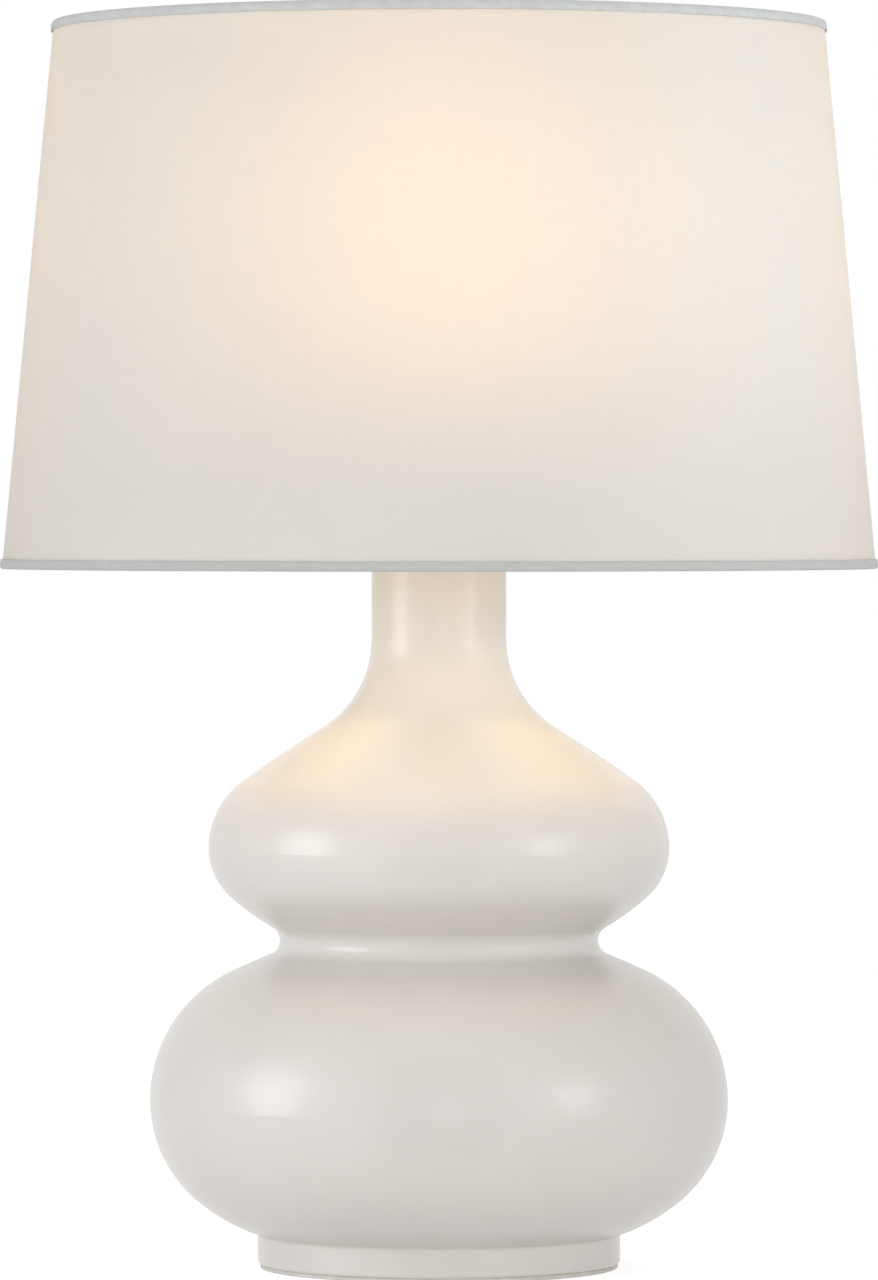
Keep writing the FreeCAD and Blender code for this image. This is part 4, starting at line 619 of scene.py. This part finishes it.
# The strip's thickness, its depth outside and inside the rim, how far it stands off the cloth's
# cone, and how far it swells between its edges.
STRIP = 0.00045
TRIM_DEPTH = 0.005
TRIM_INSIDE = 0.0055
TRIM_STANDS_OFF = 0.00065
TRIM_CROWN = 0.0003
# How far it keeps off the ring's wire, puckers in its middle, and wanders at its cut edges.
WIRE_GAP = 0.00012
TRIM_PUCKER = 0.00012
TRIM_WANDER = 0.0001
# The ribs are real threads, 0.6 mm apart on the strip. 1440 round a rim draw them 1.0 mm apart.
RIBS = 1440
RIB_SHARE = 0.12
# The heights between which the strips are painted greyer downwards, as painted shade, and by how much
# at the most.
UNSHADED_OVER, GREY_UNDER, GREYED = 0.60, 0.40, 0.62

trim_cloth, tree, shader = surface("rolled_linen_strip", {"Roughness": 0.9, "Sheen Weight": 0.2})
coords = add(tree, "TexCoord").outputs["Object"]
parts = add(tree, "SeparateXYZ", {0: coords})
around = add(
    tree, "Math", {0: parts.outputs["X"], 1: parts.outputs["Y"]}, operation="ARCTAN2"
).outputs[0]
ribs = add(tree, "Math", {0: around, 1: RIBS}, operation="MULTIPLY")
rib = add(tree, "Math", {0: ribs.outputs[0]}, operation="SINE").outputs[0]
uneven = add(tree, "TexNoise", {"Vector": coords, "Scale": 220.0, "Detail": 2.0})
ribbed = add(
    tree, "Math", {0: rib, 1: RIB_SHARE, 2: uneven.outputs["Fac"]}, operation="MULTIPLY_ADD"
)
# The strip's own colour, which the painted shade below greys.
clean = tinted(tree, ribbed.outputs[0], (0.25, "#C8C9C6"), (0.75, "#D3D4D2"))
# The lower strip is painted a little greyer towards the bottom, as painted shade.
shade_downwards_share = add(
    tree,
    "MapRange",
    {
        "Value": parts.outputs["Z"],
        "From Min": UNSHADED_OVER,
        "From Max": GREY_UNDER,
        "To Max": GREYED,
    },
)
# Painted shade: the strip's colour mixed towards grey lower down.
painted_shade_strip = add(
    tree,
    "Mix",
    {0: shade_downwards_share.outputs[0], 6: clean, 7: linear("#B1B2AE")},
    data_type="RGBA",
)
tree.links.new(painted_shade_strip.outputs[2], shader.inputs["Base Color"])
bump = add(tree, "Bump", {"Strength": 0.5, "Distance": 0.0003, "Height": ribbed.outputs[0]})
tree.links.new(bump.outputs[0], shader.inputs["Normal"])


def rolled_trim(name, rim, into, ring_inside):
    """A strip glued up the outside of a rim, folded round its edge and the ring, and up the inside.
    into is 1 where the shade is above the rim and -1 where it is below."""
    skin = linen_radius(rim) + TRIM_STANDS_OFF
    lean = linen_radius(rim + into * TRIM_DEPTH) + TRIM_STANDS_OFF - skin
    inside = ring_inside - WIRE_GAP
    outer = [
        (skin + lean, rim + into * TRIM_DEPTH),
        (skin + lean * 0.8 + TRIM_CROWN * 0.6, rim + into * TRIM_DEPTH * 0.8),
        (skin + lean * 0.55 + TRIM_CROWN, rim + into * TRIM_DEPTH * 0.55),
        (skin + lean * 0.3 + TRIM_CROWN * 0.7, rim + into * TRIM_DEPTH * 0.3),
        (skin - 0.00005, rim + into * 0.0010),
        (skin - 0.00035, rim + into * 0.00035),
        (skin - 0.0010, rim),
        (skin - 0.0022, rim),
        (inside - STRIP + 0.0010, rim + into * 0.00010),
        (inside - STRIP + 0.0003, rim + into * 0.00055),
        (inside - STRIP, rim + into * 0.0014),
        (inside - STRIP + lean * 0.5, rim + into * (TRIM_INSIDE - 0.0002)),
    ]
    inner = [
        (inside - STRIP * 0.5 + lean * 0.5, rim + into * TRIM_INSIDE),
        (inside + lean * 0.5, rim + into * (TRIM_INSIDE - 0.0002)),
        (inside, rim + into * 0.0016),
        (inside + 0.0007, rim + into * (STRIP + 0.0002)),
        (skin - 0.0018, rim + into * STRIP),
        (skin - 0.0009, rim + into * (STRIP + 0.00012)),
        (skin - STRIP, rim + into * 0.0012),
        (skin + lean - STRIP, rim + into * (TRIM_DEPTH - 0.0001)),
        (skin + lean - STRIP * 0.5, rim + into * (TRIM_DEPTH + 0.0001)),
    ]

    def wrinkled(radius, height, angle):
        """The cut edge wanders by a tenth of a millimetre, and the strip puckers less than that."""
        share = (height - rim) / (into * TRIM_DEPTH)
        wander = math.sin(19 * angle + rim * 40) + 0.6 * math.sin(47 * angle + 1.3)
        pucker = math.sin(31 * angle + 2 * share) * share * (1 - min(share, 1.0))
        moved = into * TRIM_WANDER * wander * max(0.0, share - 0.3)
        return radius - TRIM_PUCKER * abs(pucker), height + moved

    return lathe(name, outer + inner, turns=720, closed=True, shape=wrinkled)


for name, node, rim, into, ring in (
    ("linen_bottom_trim", "shade_bottom_trim", CONE_LOW[1], 1, "shade_bottom_ring"),
    ("linen_top_trim", "shade_top_trim", CONE_HIGH[1], -1, "shade_top_ring"),
):
    wire_low, wire_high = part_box(ring)
    strip = rolled_trim(name, rim, into, wire_high.x - (wire_high.z - wire_low.z))
    place(strip, trim_cloth, "shade", "trim_cloth", node)


# Studio: a pale floor, an even pale surround, a softbox on each side of the camera, and fills. The
# surround looks white to the camera and in reflections, and the floor looks white to the camera.
# Both light the lamp at a plain level.

AMBIENT = 0.514
# What the floor adds to its own shading: to the camera, and to the light that it throws back.
FLOOR_LIFT, FLOOR_GLOW = 0.55, 0.035
# The floor's half width, and the gap that keeps it from coinciding with the felt.
FLOOR_REACH, FLOOR_GAP = 30.0, 0.0001


def seen_directly(tree):
    """1 for rays from the camera, a reflection or glass, and 0 for rays that carry light."""
    ray = add(tree, "LightPath")
    camera_or_gloss = add(
        tree,
        "Math",
        {0: ray.outputs["Is Camera Ray"], 1: ray.outputs["Is Glossy Ray"]},
        operation="MAXIMUM",
    )
    return add(
        tree,
        "Math",
        {0: camera_or_gloss.outputs[0], 1: ray.outputs["Is Transmission Ray"]},
        operation="MAXIMUM",
    ).outputs[0]


def card(name, corners):
    """A flat mesh with four corners."""
    mesh = bpy.data.meshes.new(name)
    mesh.from_pydata(corners, [], [(0, 1, 2, 3)])
    made = bpy.data.objects.new(name, mesh)
    scene.collection.objects.link(made)
    return made


world = bpy.data.worlds.new("studio_surround")
scene.world = world
world.use_nodes = True
tree = world.node_tree
tree.nodes.clear()
lighting = add(tree, "Background", {"Color": linear("#F8FAFF"), "Strength": AMBIENT})
seen = add(tree, "Background", {"Color": (1, 1, 1, 1), "Strength": 1.0})
mix = add(
    tree,
    "MixShader",
    {0: seen_directly(tree), 1: lighting.outputs[0], 2: seen.outputs[0]},
)
add(tree, "OutputWorld", {"Surface": mix.outputs[0]})

around_the_lamp = ((-1, -1), (1, -1), (1, 1), (-1, 1))
studio_floor = card(
    "studio_floor",
    [(x * FLOOR_REACH, y * FLOOR_REACH, -FLOOR_GAP) for x, y in around_the_lamp],
)
floor_paint, tree, shader = surface(
    "pale_studio_floor",
    {"Base Color": linear("#F0F0F0"), "Roughness": 0.9},
)
floors = []
for strength in (FLOOR_GLOW, FLOOR_LIFT):
    extra = add(tree, "Emission", {"Color": (1, 1, 1, 1), "Strength": strength})
    floors.append(add(tree, "AddShader", {0: shader.outputs[0], 1: extra.outputs[0]}).outputs[0])
mix = add(tree, "MixShader", {0: seen_directly(tree), 1: floors[0], 2: floors[1]})
show(tree, mix.outputs[0])
studio_floor.data.materials.append(floor_paint)
studio_floor.visible_glossy = False

# Camera flag: a tall dark card round the lens. Only reflections show it, as a faint squarish patch
# in the glaze at the front of each lobe.
FLAG_LEFT, FLAG_RIGHT, FLAG_LOW, FLAG_HIGH = -0.62, 0.52, -0.9, 1.35
FLAG_Y = -1.4
camera_flag = card(
    "camera_flag",
    [
        (FLAG_LEFT, FLAG_Y, FLAG_LOW),
        (FLAG_RIGHT, FLAG_Y, FLAG_LOW),
        (FLAG_RIGHT, FLAG_Y, FLAG_HIGH),
        (FLAG_LEFT, FLAG_Y, FLAG_HIGH),
    ],
)
black_cloth, tree, shader = surface(
    "black_velvet_flag",
    {"Base Color": linear("#101010"), "Roughness": 1.0},
)
camera_flag.data.materials.append(black_cloth)
camera_flag.visible_camera = False
camera_flag.visible_diffuse = False
camera_flag.visible_transmission = False
camera_flag.visible_shadow = False

# Each light's azimuth from the camera's side, distance, height, the height that it points at, its
# size, the angle of its grid, power and colour, and whether the glaze mirrors it. The gridded box
# lights mostly the right of the shade.
for name, azimuth, distance, height, aim, size, grid_angle, watts, colour, mirrored in (
    ("softbox_left", -69.0, 2.2, 0.64, 0.30, 1.4, 60.0, 2.4, "#FCFDFF", True),
    ("softbox_right", 54.0, 2.2, 0.56, 0.30, 0.8, 60.0, 0.62, "#FFFDFA", True),
    ("gridded_box", 66.0, 1.5, 0.72, 0.50, 0.35, 28.0, 0.2, "#F6FBFF", False),
    ("fill_front", 6.0, 3.0, 0.40, 0.34, 1.0, 50.0, 2.27, "#FFFFFF", False),
    ("fill_back", 186.0, 3.0, 0.45, 0.34, 1.0, 50.0, 2.5, "#FFFFFF", False),
):
    light = bpy.data.lights.new(name, "AREA")
    light.shape = "DISK"
    light.size = size
    light.spread = math.radians(grid_angle)
    light.energy = watts
    light.color = linear(colour)[:3]
    box = bpy.data.objects.new(name, light)
    turn = math.radians(azimuth)
    box.location = (distance * math.sin(turn), -distance * math.cos(turn), height)
    box.rotation_euler = (math.pi / 2 - math.atan2(height - aim, distance), 0, turn)
    box.visible_camera = False
    box.visible_glossy = mirrored
    scene.collection.objects.link(box)
